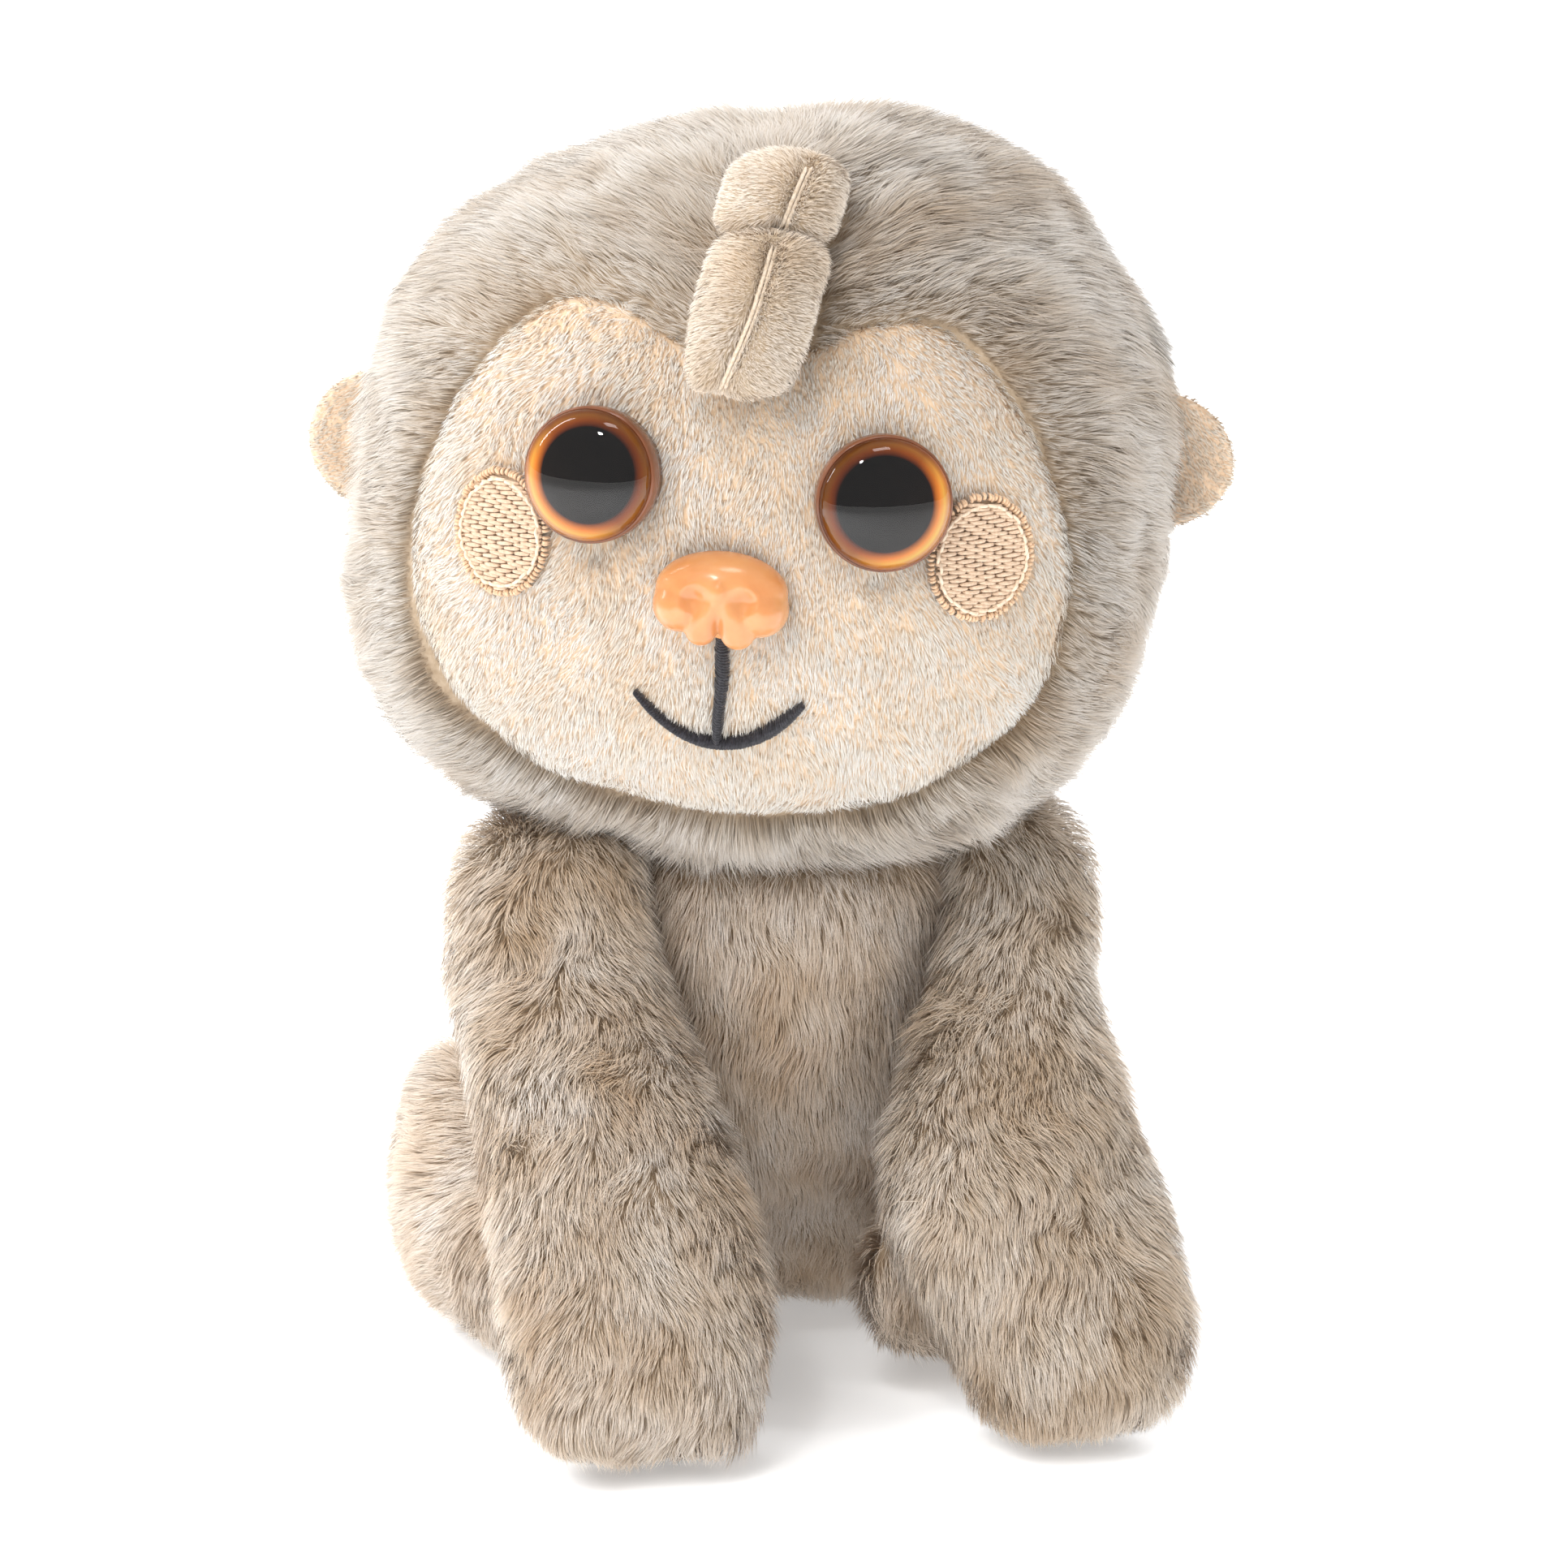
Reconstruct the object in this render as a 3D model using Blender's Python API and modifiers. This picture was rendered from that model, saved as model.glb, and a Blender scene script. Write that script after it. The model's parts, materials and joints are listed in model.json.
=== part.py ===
"""A small stuffed monkey that sits on its seat and props itself on its front paws.

Metres, +Z up. The toy faces -Y, so its own left side is at +X. The origin is on the floor, under the
middle of the toy's bounding box.
"""

import math

import bmesh
import bpy
from mathutils import Vector

# The numbers below are measured from a point between the arms and the seat, which lies here.
TOY_PLACE = (0.0019, 0.0031, 0.0)

# ---- Fabric, gaps and thread ----
SHEET = 0.0030  # fur fabric with its pressed-down pile
FACE_SHEET = 0.0024  # short-pile fabric of the face
GAP = 0.0003  # clearance between pieces that touch
FILL_GAP = 0.0010  # extra room round the stuffing
SLOPE_GAP = 0.0022  # more room where a cover slopes strongly
THREAD_RADIUS = 0.0005

# ---- Head: a rounded block, turned to one side and tipped a little ----
HEAD_CENTRE = (-0.003, 0.001, 0.1123)
HEAD_HALF = (0.0480, 0.0430, 0.0440)
HEAD_POWER = 2.35  # 2 is an ellipsoid, more is squarer
HEAD_TURN = math.radians(-16.0)
HEAD_TIP = math.radians(3.0)
HEAD_SEGMENTS = 24
HEAD_RINGS = 16
NECK_RINGS = 2  # rings left open at the bottom of the head
NECK_PIVOT = (-0.002, 0.002, 0.0673)
NECK_THREAD_RADIUS = 0.0008
NECK_LOOP = (0.0125, 0.0110)

# ---- Face panel: outline in the head's front plane, right half, from the dip down to the chin ----
FACE_OUTLINE = (
    (0.0000, 0.0225),
    (0.0200, 0.0283),
    (0.0294, 0.0222),
    (0.0368, 0.0094),
    (0.0405, -0.0050),
    (0.0372, -0.0200),
    (0.0274, -0.0282),
    (0.0163, -0.0335),
    (0.0000, -0.0352),
)
FACE_CUT_BACK = -0.008  # the outline cuts only the front of the head
FACE_CUT_FRONT = -0.060

# ---- Eyes, nose, mouth and cheeks: places in the head's front plane (x, z) ----
EYES = {"left": (0.0175, 0.0074), "right": (-0.0161, 0.0083)}
EYE_RADIUS = 0.0081
EYE_HEIGHT = 0.0044
EYE_RIM = 0.0010  # height of the lens's upright rim
EYE_BEVEL = 0.0003
EYE_PLATE = 0.0008
EYE_PLATE_RADIUS = 0.0075
NOSE_PLATE = 0.0006
NOSE_PLATE_RADIUS = 0.0045
STEM_RADIUS = 0.0020
STEM_LENGTH = 0.0090
STEM_POINT = 0.0015  # length of the stem's tapered end
STEM_HOLE = 0.0024
HOLE_DEPTH = 0.0060
CUT_ABOVE = 0.0040  # how far holes and pockets are cut beyond the head's surface
WASHER_RADIUS = 0.0058
WASHER_THICK = 0.0012
WASHER_DISH = 0.0004
POCKET_RADIUS = 0.0064
NOSE = (-0.0003, -0.0051)
NOSE_HALF = (0.0080, 0.0058, 0.0062)
NOSE_BACK = 0.0006  # how far the nose's flat back lies behind its widest section
NOSE_WAVE = 0.10  # how far the wings and lobes stand out of the nose's oval outline
NOSE_WAVES = 6
NOSE_TAPER = 0.30  # how much narrower the nose is at the bottom
MOUTH_TOP = -0.0108
MOUTH_BOTTOM = -0.0236
MOUTH_END = (0.0099, -0.0176)
MOUTH_BREAK = 0.0016  # the upright line stops this far above the smile
CHEEKS = {"left": (0.0291, 0.0006), "right": (-0.0273, -0.0003)}
CHEEK_HALF = (0.0056, 0.0073)
CHEEK_THICK = 0.0008

# ---- Ears ----
EAR_HEIGHTS = {"left": 0.0065, "right": 0.0020}
EAR_RADIUS = 0.0080
EAR_REACH = 0.0075  # how far an ear stands out from the side of the head
EAR_DEPTH = 0.0030  # behind the head's middle plane
EAR_SHEET = 0.0014
EAR_EDGE = 0.0004  # the straight root of an ear stands this far off its joint
EAR_CUP = 0.10  # how much the top and bottom of an ear lean back

# ---- Forelock: two padded lobes gathered by a thread, along the middle of the head ----
# Each ring is (y, z) in the head's middle plane, then half the width and half the thickness.
FORELOCK_UPPER = (
    ((-0.0228, 0.0431), 0.0030, 0.0018),
    ((-0.0246, 0.0428), 0.0074, 0.0032),
    ((-0.0284, 0.0417), 0.0084, 0.0040),
    ((-0.0323, 0.0391), 0.0076, 0.0040),
    ((-0.0349, 0.0368), 0.0056, 0.0032),
)
FORELOCK_LOWER = (
    ((-0.0362, 0.0358), 0.0056, 0.0032),
    ((-0.0385, 0.0334), 0.0074, 0.0042),
    ((-0.0425, 0.0292), 0.0080, 0.0046),
    ((-0.0450, 0.0245), 0.0076, 0.0040),
    ((-0.0458, 0.0190), 0.0064, 0.0026),
)
FORELOCK_LEAN = 0.13  # the top of the forelock leans to the toy's left
FORELOCK_FOOT = 0.016  # the height in the head at which the leaning line crosses the middle
TIE_RADIUS = 0.0028

# ---- Torso: rings from the seat up, as (height, middle y, half width, half depth) ----
TORSO = (
    (0.0000, 0.0180, 0.0110, 0.0100),
    (0.0000, 0.0180, 0.0160, 0.0145),
    (0.0035, 0.0175, 0.0215, 0.0195),
    (0.0120, 0.0165, 0.0248, 0.0228),
    (0.0240, 0.0130, 0.0248, 0.0225),
    (0.0360, 0.0075, 0.0232, 0.0205),
    (0.0480, 0.0030, 0.0215, 0.0185),
    (0.0590, 0.0008, 0.0195, 0.0165),
    (0.0660, 0.0005, 0.0165, 0.0145),
)
TORSO_SEGMENTS = 12
SIDE_SEAM_LEAN = math.radians(20.0)  # the side seams lean back with the torso
SIDE_SEAM_PLACE = (0.0, 0.007, 0.034)
BAG_TOP = 0.0180  # the pellet bag fills the seat up to here, the stuffing the rest
FILL_TOP = 0.0650
BLOCK = 0.2  # side of the blocks that part the front of the torso from its back

# ---- Arms: rings from the sole up, as (middle x, middle y, height, half width, half depth) ----
ARM = (
    (0.0265, -0.0405, 0.0000, 0.0070, 0.0060),
    (0.0265, -0.0405, 0.0000, 0.0110, 0.0095),
    (0.0265, -0.0400, 0.0030, 0.0138, 0.0122),
    (0.0268, -0.0385, 0.0100, 0.0152, 0.0134),
    (0.0268, -0.0345, 0.0220, 0.0168, 0.0136),
    (0.0268, -0.0295, 0.0330, 0.0166, 0.0132),
    (0.0275, -0.0240, 0.0440, 0.0152, 0.0120),
    (0.0298, -0.0150, 0.0550, 0.0118, 0.0112),
    (0.0318, -0.0070, 0.0640, 0.0100, 0.0104),
    (0.0312, -0.0040, 0.0700, 0.0070, 0.0075),
)
ARM_SEGMENTS = 8
SHOULDER = (0.0310, -0.0060, 0.0610)
ARM_MOUTH_LOW = 0.050  # the arm's cover is open on its inner side above this height
ARM_MOUTH_SIDE = 0.0055  # and this far inward of its joint

# ---- Legs: rings from the back of the haunch to the toes, as (x, y, height, half width, half height) ----
LEG = (
    (0.0350, 0.0400, 0.0160, 0.0050, 0.0080),
    (0.0360, 0.0370, 0.0170, 0.0085, 0.0140),
    (0.0368, 0.0290, 0.0185, 0.0098, 0.0182),
    (0.0368, 0.0180, 0.0180, 0.0098, 0.0178),
    (0.0360, 0.0080, 0.0148, 0.0096, 0.0145),
    (0.0338, -0.0010, 0.0128, 0.0088, 0.0126),
    (0.0278, -0.0095, 0.0126, 0.0080, 0.0122),
    (0.0160, -0.0150, 0.0136, 0.0074, 0.0116),
    (0.0095, -0.0158, 0.0150, 0.0048, 0.0074),
)
LEG_SEGMENTS = 8
HIP = (0.0360, 0.0240, 0.0200)
LEG_MOUTH = 0.009  # half length of the opening in the leg's inner side
LEG_MOUTH_SIDE = 0.0060  # how far inward of its joint the opening starts

# ---- Care label, sewn in the back seam of the seat ----
LABEL_SIZE = (0.010, 0.0005, 0.014)
LABEL_PLACE = (0.006, 0.0392, 0.0200)

PARTS = "stuffed_monkey"
CUTTERS = "cutters"
SIDES = (("left", 1.0), ("right", -1.0))

# Colour, roughness and metallic value of each sub-part's material.
HEAD_FUR = ((0.60, 0.53, 0.45), 0.95, 0.0)
BODY_FUR = ((0.42, 0.34, 0.26), 0.95, 0.0)
FACE_FABRIC = ((0.87, 0.74, 0.62), 0.90, 0.0)
EAR_FABRIC = ((0.84, 0.62, 0.44), 0.90, 0.0)
STUFFING = ((0.86, 0.86, 0.84), 1.00, 0.0)
PELLETS = ((0.75, 0.73, 0.70), 0.70, 0.0)
CLEAR_LENS = ((0.80, 0.40, 0.10), 0.03, 0.0)
EYE_PAINT = ((0.03, 0.02, 0.02), 0.30, 0.0)
WASHER_PLASTIC = ((0.80, 0.80, 0.78), 0.45, 0.0)
NOSE_VINYL = ((0.90, 0.48, 0.22), 0.25, 0.0)
MOUTH_THREAD = ((0.02, 0.02, 0.03), 0.60, 0.0)
CHEEK_THREAD = ((0.86, 0.63, 0.42), 0.45, 0.0)
SEWING_THREAD = ((0.55, 0.46, 0.36), 0.60, 0.0)
LABEL_TAPE = ((0.90, 0.90, 0.88), 0.55, 0.0)


def clear_scene():
    for obj in list(bpy.data.objects):
        bpy.data.objects.remove(obj)


def new_collection(name, hidden):
    collection = bpy.data.collections.new(name)
    collection.hide_render = hidden
    bpy.context.scene.collection.children.link(collection)
    return collection


def material(name, finish):
    colour, roughness, metallic = finish
    made = bpy.data.materials.new(name)
    made.use_nodes = True
    shader = made.node_tree.nodes["Principled BSDF"]
    shader.inputs["Base Color"].default_value = (*colour, 1.0)
    shader.inputs["Roughness"].default_value = roughness
    shader.inputs["Metallic"].default_value = metallic
    return made


def place(name, data, finish, parent=None):
    """An object of the toy, in its parent's frame."""
    obj = bpy.data.objects.new(name, data)
    bpy.data.collections[PARTS].objects.link(obj)
    obj.parent = parent
    data.materials.append(material(name, finish))
    if obj.type == "MESH":
        data.shade_smooth()
    return obj


def place_cutter(name, data, parent=None):
    obj = bpy.data.objects.new(name, data)
    bpy.data.collections[CUTTERS].objects.link(obj)
    obj.parent = parent
    obj.hide_render = True
    obj.display_type = "WIRE"
    return obj


def empty(name, location, rotation=(0.0, 0.0, 0.0), parent=None):
    """An empty on a joint's axis. It carries the pieces of one moving body."""
    obj = bpy.data.objects.new(name, None)
    bpy.data.collections[PARTS].objects.link(obj)
    obj.parent = parent
    obj.location = location
    obj.rotation_mode = "ZYX"
    obj.rotation_euler = rotation
    return obj


def mesh_from(name, build):
    """A mesh made by build(bm)."""
    data = bpy.data.meshes.new(name)
    bm = bmesh.new()
    build(bm)
    bm.to_mesh(data)
    bm.free()
    return data


def subdivide(obj, levels=1):
    modifier = obj.modifiers.new("Smooth form", "SUBSURF")
    modifier.levels = levels
    modifier.render_levels = levels


def thicken(obj, thickness, inward=True):
    modifier = obj.modifiers.new("Fabric", "SOLIDIFY")
    modifier.thickness = thickness
    modifier.offset = -1.0 if inward else 1.0
    modifier.use_even_offset = True


def boolean(obj, cutter, operation):
    modifier = obj.modifiers.new(cutter.name, "BOOLEAN")
    modifier.object = cutter
    modifier.operation = operation
    modifier.solver = "EXACT"


# ---- Closed forms lofted through elliptical rings ----


def swell(segments):
    """How much wider a cage's ring is than the surface that subdivision makes from it."""
    return 1.0 / math.cos(math.pi / segments)


def ring_stack(bm, rings, segments, is_open=None):
    """Joins rings of points into a closed form. is_open(middle) leaves out a face, for a cover's mouth."""
    loops = [[bm.verts.new(point) for point in ring] for ring in rings]
    for lower, upper in zip(loops, loops[1:]):
        for i in range(segments):
            j = (i + 1) % segments
            bm.faces.new((lower[i], lower[j], upper[j], upper[i]))
    bm.faces.new(list(reversed(loops[0])))
    bm.faces.new(loops[-1])
    if is_open:
        doomed = [face for face in bm.faces if is_open(face.calc_center_median())]
        bmesh.ops.delete(bm, geom=doomed, context="FACES")


def level_ring(x, y, z, half_width, half_depth, segments):
    """A horizontal ellipse, anticlockwise from above."""
    wide = half_width * swell(segments)
    deep = half_depth * swell(segments)
    angles = [2.0 * math.pi * i / segments for i in range(segments)]
    return [(x + wide * math.cos(a), y + deep * math.sin(a), z) for a in angles]


def upright_ring(x, y, z, half_width, half_height, heading, segments):
    """An upright ellipse across the heading, which is an angle from -Y towards +X."""
    across = Vector((math.cos(heading), math.sin(heading), 0.0))
    ring = []
    for i in range(segments):
        a = 2.0 * math.pi * i / segments
        point = Vector((x, y, z)) + across * half_width * swell(segments) * math.cos(a)
        point.z = max(z + half_height * swell(segments) * math.sin(a), 0.0)
        ring.append(point)
    return ring


def mirrored(rings, side):
    """The rings for one side of the toy, kept anticlockwise."""
    flipped = [[(side * p[0], p[1], p[2]) for p in ring] for ring in rings]
    return flipped if side > 0 else [list(reversed(ring)) for ring in flipped]


def local(rings, pivot):
    """The rings seen from the joint that their piece turns on."""
    return [[Vector(p) - Vector(pivot) for p in ring] for ring in rings]


# ---- Head ----


def head_radius(direction, inset):
    """Distance from the middle of the head to its surface, which lies inset inside the outer one."""
    total = sum(abs(d / (half - inset)) ** HEAD_POWER for d, half in zip(direction, HEAD_HALF))
    return total ** (-1.0 / HEAD_POWER)


def face_point(x, z, lift=0.0):
    """The point of the face in front of (x, z) in the head's front plane, lifted off the surface."""
    half_x, half_y, half_z = HEAD_HALF
    left_over = 1.0 - abs(x / half_x) ** HEAD_POWER - abs(z / half_z) ** HEAD_POWER
    point = Vector((x, -half_y * left_over ** (1.0 / HEAD_POWER), z))
    return point + face_normal(point) * lift


def face_normal(point):
    slopes = [math.copysign(abs(p / h) ** (HEAD_POWER - 1.0) / h, p) for p, h in zip(point, HEAD_HALF)]
    return Vector(slopes).normalized()


def head_sphere(bm, inset, open_rings):
    """A UV sphere pressed into the head's shape, with its lowest rings taken off."""
    bmesh.ops.create_uvsphere(bm, u_segments=HEAD_SEGMENTS, v_segments=HEAD_RINGS, radius=1.0)
    lowest = -math.cos(math.pi * open_rings / HEAD_RINGS)
    doomed = [face for face in bm.faces if face.calc_center_median().z < lowest] if open_rings else []
    bmesh.ops.delete(bm, geom=doomed, context="FACES")
    for vert in bm.verts:
        vert.co *= head_radius(vert.co.normalized(), inset)


def face_cutter(name, grow, head):
    """A block with the face panel's outline, through the front of the head."""
    half = list(FACE_OUTLINE)
    outline = half + [(-x, z) for x, z in reversed(half[1:-1])]
    curve = bpy.data.curves.new(name, "CURVE")
    curve.dimensions = "2D"
    curve.fill_mode = "BOTH"
    curve.resolution_u = 3
    curve.offset = grow
    curve.extrude = 0.5 * (FACE_CUT_BACK - FACE_CUT_FRONT)
    spline = curve.splines.new("BEZIER")
    spline.bezier_points.add(len(outline) - 1)
    for point, (x, z) in zip(spline.bezier_points, outline):
        point.co = (x, z, 0.0)
        point.handle_left_type = "AUTO"
        point.handle_right_type = "AUTO"
    spline.use_cyclic_u = True
    guide = place_cutter(name + "_outline", curve, head)
    guide.location = (0.0, 0.5 * (FACE_CUT_BACK + FACE_CUT_FRONT), 0.0)
    guide.rotation_euler = (math.radians(90.0), 0.0, 0.0)
    bpy.context.view_layer.update()
    graph = bpy.context.evaluated_depsgraph_get()
    data = bpy.data.meshes.new_from_object(guide.evaluated_get(graph))
    bm = bmesh.new()
    bm.from_mesh(data)
    bmesh.ops.remove_doubles(bm, verts=bm.verts, dist=1e-6)
    bmesh.ops.recalc_face_normals(bm, faces=bm.faces)
    bm.to_mesh(data)
    bm.free()
    cutter = place_cutter(name, data)
    cutter.matrix_world = guide.matrix_world.copy()
    bpy.data.objects.remove(guide)
    return cutter


def aim(obj, point, direction):
    """Puts an object at a point of the head with its own +Z along the direction."""
    obj.location = point
    obj.rotation_mode = "QUATERNION"
    obj.rotation_quaternion = direction.to_track_quat("Z", "Y")


def rod(name, radius, bottom, top, point, direction, head):
    """A round cutter along the direction, between two distances from the point."""

    def build(bm):
        bmesh.ops.create_cone(
            bm, cap_ends=True, segments=16, radius1=radius, radius2=radius, depth=top - bottom
        )
        bmesh.ops.translate(bm, verts=bm.verts, vec=(0.0, 0.0, 0.5 * (top + bottom)))

    cutter = place_cutter(name, mesh_from(name, build), head)
    aim(cutter, point, direction)
    return cutter


def turned(name, profile, finish, point, direction, head, steps=20):
    """A round piece: the profile (radius, height) runs down its outer side."""

    def build(bm):
        verts = [bm.verts.new((r, 0.0, h)) for r, h in profile]
        for a, b in zip(verts, verts[1:]):
            bm.edges.new((a, b))
        if profile[0][0] > 0.0:
            bm.edges.new((verts[-1], verts[0]))

    obj = place(name, mesh_from(name, build), finish, head)
    screw = obj.modifiers.new("Turn", "SCREW")
    screw.steps = steps
    screw.render_steps = steps
    screw.use_merge_vertices = True
    screw.merge_threshold = 1e-5
    aim(obj, point, direction)
    return obj


def lens_profile():
    """A clear dome with a thin upright rim and a flat back."""
    rise = EYE_HEIGHT - EYE_RIM
    arc = [math.radians(90.0 * i / 5) for i in range(6)]
    dome = [(EYE_RADIUS * math.sin(a), EYE_RIM + rise * math.cos(a)) for a in arc]
    return [*dome, (EYE_RADIUS - EYE_BEVEL, 0.0), (0.0, 0.0)]


def back_plate_profile(plate_radius, plate_thick):
    """A disc with a stem that tapers to a blunt point, so that a washer pushes on."""
    tip = -plate_thick - STEM_LENGTH
    return [
        (0.0, 0.0),
        (plate_radius, 0.0),
        (plate_radius, -plate_thick),
        (STEM_RADIUS, -plate_thick),
        (STEM_RADIUS, tip + STEM_POINT),
        (STEM_RADIUS * 0.5, tip),
        (0.0, tip),
    ]


def washer_profile():
    inner = STEM_RADIUS + GAP
    return [
        (inner, 0.0),
        (WASHER_RADIUS, -WASHER_DISH),
        (WASHER_RADIUS, -WASHER_THICK),
        (inner, -WASHER_THICK),
    ]


def nose_form(bm):
    """A domed nose with two wings and two lobes below, flat behind."""
    bmesh.ops.create_uvsphere(bm, u_segments=16, v_segments=10, radius=1.0)
    half_x, half_y, half_z = NOSE_HALF
    for vert in bm.verts:
        x, y, z = vert.co
        around = math.atan2(x, -z)  # nought is straight down
        reach = math.hypot(x, z)
        lobes = NOSE_WAVE * reach * math.cos(around) * math.cos(NOSE_WAVES * around)
        narrow = 1.0 - NOSE_TAPER * max(-z, 0.0)
        vert.co.x = half_x * x * narrow
        vert.co.z = half_z * z * (1.0 - lobes)
        vert.co.y = min(half_y * y, NOSE_BACK)


def grid_patch(bm, half_x, half_z, centre, lift, cells=5):
    """A round patch of the face's surface, as a grid whose square outline is bent into an oval."""
    bmesh.ops.create_grid(bm, x_segments=cells, y_segments=cells, size=1.0)
    for vert in bm.verts:
        u, v = vert.co.x, vert.co.y
        x = centre[0] + half_x * u * math.sqrt(1.0 - 0.5 * v * v)
        z = centre[1] + half_z * v * math.sqrt(1.0 - 0.5 * u * u)
        vert.co = face_point(x, z, lift)


def thread_on_face(name, points, head):
    """A thread that lies on the face."""
    curve = bpy.data.curves.new(name, "CURVE")
    curve.dimensions = "3D"
    curve.bevel_depth = THREAD_RADIUS
    curve.bevel_resolution = 1
    curve.use_fill_caps = True
    spline = curve.splines.new("POLY")
    spline.points.add(len(points) - 1)
    for point, (x, z) in zip(spline.points, points):
        point.co = (*face_point(x, z, THREAD_RADIUS + GAP), 1.0)
    return place(name, curve, MOUTH_THREAD, head)


def build_head(head):
    cover = place("head_cover", mesh_from("head_cover", lambda bm: head_sphere(bm, 0.0, NECK_RINGS)),
                  HEAD_FUR, head)
    thicken(cover, SHEET)
    boolean(cover, face_cutter("face_opening", 0.5 * GAP, head), "DIFFERENCE")

    panel = place("face_panel", mesh_from("face_panel", lambda bm: head_sphere(bm, 0.0, NECK_RINGS)),
                  FACE_FABRIC, head)
    thicken(panel, FACE_SHEET)
    boolean(panel, face_cutter("face_outline", -0.5 * GAP, head), "INTERSECT")

    inset = SHEET + FILL_GAP
    stuffing = place("head_stuffing", mesh_from("head_stuffing", lambda bm: head_sphere(bm, inset, 0)),
                     STUFFING, head)
    return panel, stuffing


def build_safety_piece(name, suffix, spot, panel, stuffing, head, plate_radius, plate_thick, finish):
    """The back plate, stem and washer behind an eye or the nose, and their hole and pocket."""
    point = face_point(*spot)
    out = face_normal(point)
    plate_top = GAP + plate_thick
    turned(name + "_stem" + suffix, back_plate_profile(plate_radius, plate_thick), finish,
           point + out * plate_top, out, head, steps=12)
    washer_top = -SHEET - GAP
    turned(name + "_washer" + suffix, washer_profile(), WASHER_PLASTIC,
           point + out * washer_top, out, head, steps=12)
    hole = rod(name + "_hole" + suffix, STEM_HOLE, -HOLE_DEPTH, CUT_ABOVE, point, out, head)
    boolean(panel, hole, "DIFFERENCE")
    deepest = -STEM_LENGTH - GAP
    pocket = rod(name + "_pocket" + suffix, POCKET_RADIUS, deepest, CUT_ABOVE, point, out, head)
    boolean(stuffing, pocket, "DIFFERENCE")
    return point + out * (plate_top + GAP), out


def build_face(head, panel, stuffing):
    for side, _ in SIDES:
        front, out = build_safety_piece(
            "eye", "_" + side, EYES[side], panel, stuffing, head, EYE_PLATE_RADIUS, EYE_PLATE, EYE_PAINT
        )
        turned("eye_lens_" + side, lens_profile(), CLEAR_LENS, front, out, head)
        patch = mesh_from("cheek", lambda bm: grid_patch(bm, *CHEEK_HALF, CHEEKS[side], GAP))
        cheek = place("cheek_patch_" + side, patch, CHEEK_THREAD, head)
        thicken(cheek, CHEEK_THICK, inward=False)

    front, out = build_safety_piece(
        "nose", "", NOSE, panel, stuffing, head, NOSE_PLATE_RADIUS, NOSE_PLATE, NOSE_VINYL
    )
    nose = place("nose", mesh_from("nose", nose_form), NOSE_VINYL, head)
    nose.location = front + out * (NOSE_BACK + GAP)

    line_end = MOUTH_BOTTOM + MOUTH_BREAK
    drop = [MOUTH_TOP + (line_end - MOUTH_TOP) * i / 5 for i in range(6)]
    thread_on_face("mouth_line", [(NOSE[0], z) for z in drop], head)
    end_x, end_z = MOUTH_END
    smile = []
    for i in range(13):
        t = -1.0 + 2.0 * i / 12
        smile.append((NOSE[0] + end_x * t, MOUTH_BOTTOM + (end_z - MOUTH_BOTTOM) * t * t))
    thread_on_face("mouth_smile", smile, head)


def ear_layer(name, side, finish, pivot, front):
    """One fabric layer of an ear: a round leaf with a straight root beside the head."""
    chord = EAR_REACH - EAR_RADIUS

    def build(bm):
        bmesh.ops.create_circle(bm, cap_ends=True, cap_tris=False, segments=24, radius=EAR_RADIUS)
        for vert in bm.verts:
            x, z = vert.co.x, vert.co.y
            depth = front + EAR_CUP * abs(z)
            vert.co = (side * max(x + chord + EAR_EDGE, EAR_EDGE), depth, z)
        bmesh.ops.remove_doubles(bm, verts=bm.verts, dist=1e-5)
        if side < 0:
            bmesh.ops.reverse_faces(bm, faces=bm.faces)

    layer = place(name, mesh_from(name, build), finish, pivot)
    thicken(layer, EAR_SHEET, inward=True)
    return layer


def build_ears(head):
    for side, sign in SIDES:
        root = HEAD_HALF[0] + 3.0 * GAP
        pivot = empty("ear_" + side + "_pivot", (sign * root, EAR_DEPTH, EAR_HEIGHTS[side]), parent=head)
        ear_layer("ear_inner_" + side, sign, EAR_FABRIC, pivot, -0.5 * GAP - EAR_SHEET)
        ear_layer("ear_outer_" + side, sign, HEAD_FUR, pivot, 0.5 * GAP)


def lobe(name, rings, parent, pivot):
    """A padded lobe of the forelock, with a ridge along the middle of its front."""
    segments = 8

    def build(bm):
        loops = []
        for n, ((y, z), half_width, half_thick) in enumerate(rings):
            before = rings[max(n - 1, 0)][0]
            after = rings[min(n + 1, len(rings) - 1)][0]
            along = Vector((0.0, after[0] - before[0], after[1] - before[1])).normalized()
            outward = Vector((0.0, along.z, -along.y))
            loop = []
            for i in range(segments):
                a = 2.0 * math.pi * i / segments
                thick = half_thick * math.sin(a)
                middle = Vector((FORELOCK_LEAN * (z - FORELOCK_FOOT), y, z)) - Vector(pivot)
                loop.append(middle + Vector((half_width * math.cos(a), 0.0, 0.0)) + outward * thick)
            loops.append(loop)
        ring_stack(bm, loops, segments)
        bmesh.ops.recalc_face_normals(bm, faces=bm.faces)

    made = place(name, mesh_from(name, build), HEAD_FUR, parent)
    subdivide(made)


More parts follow.
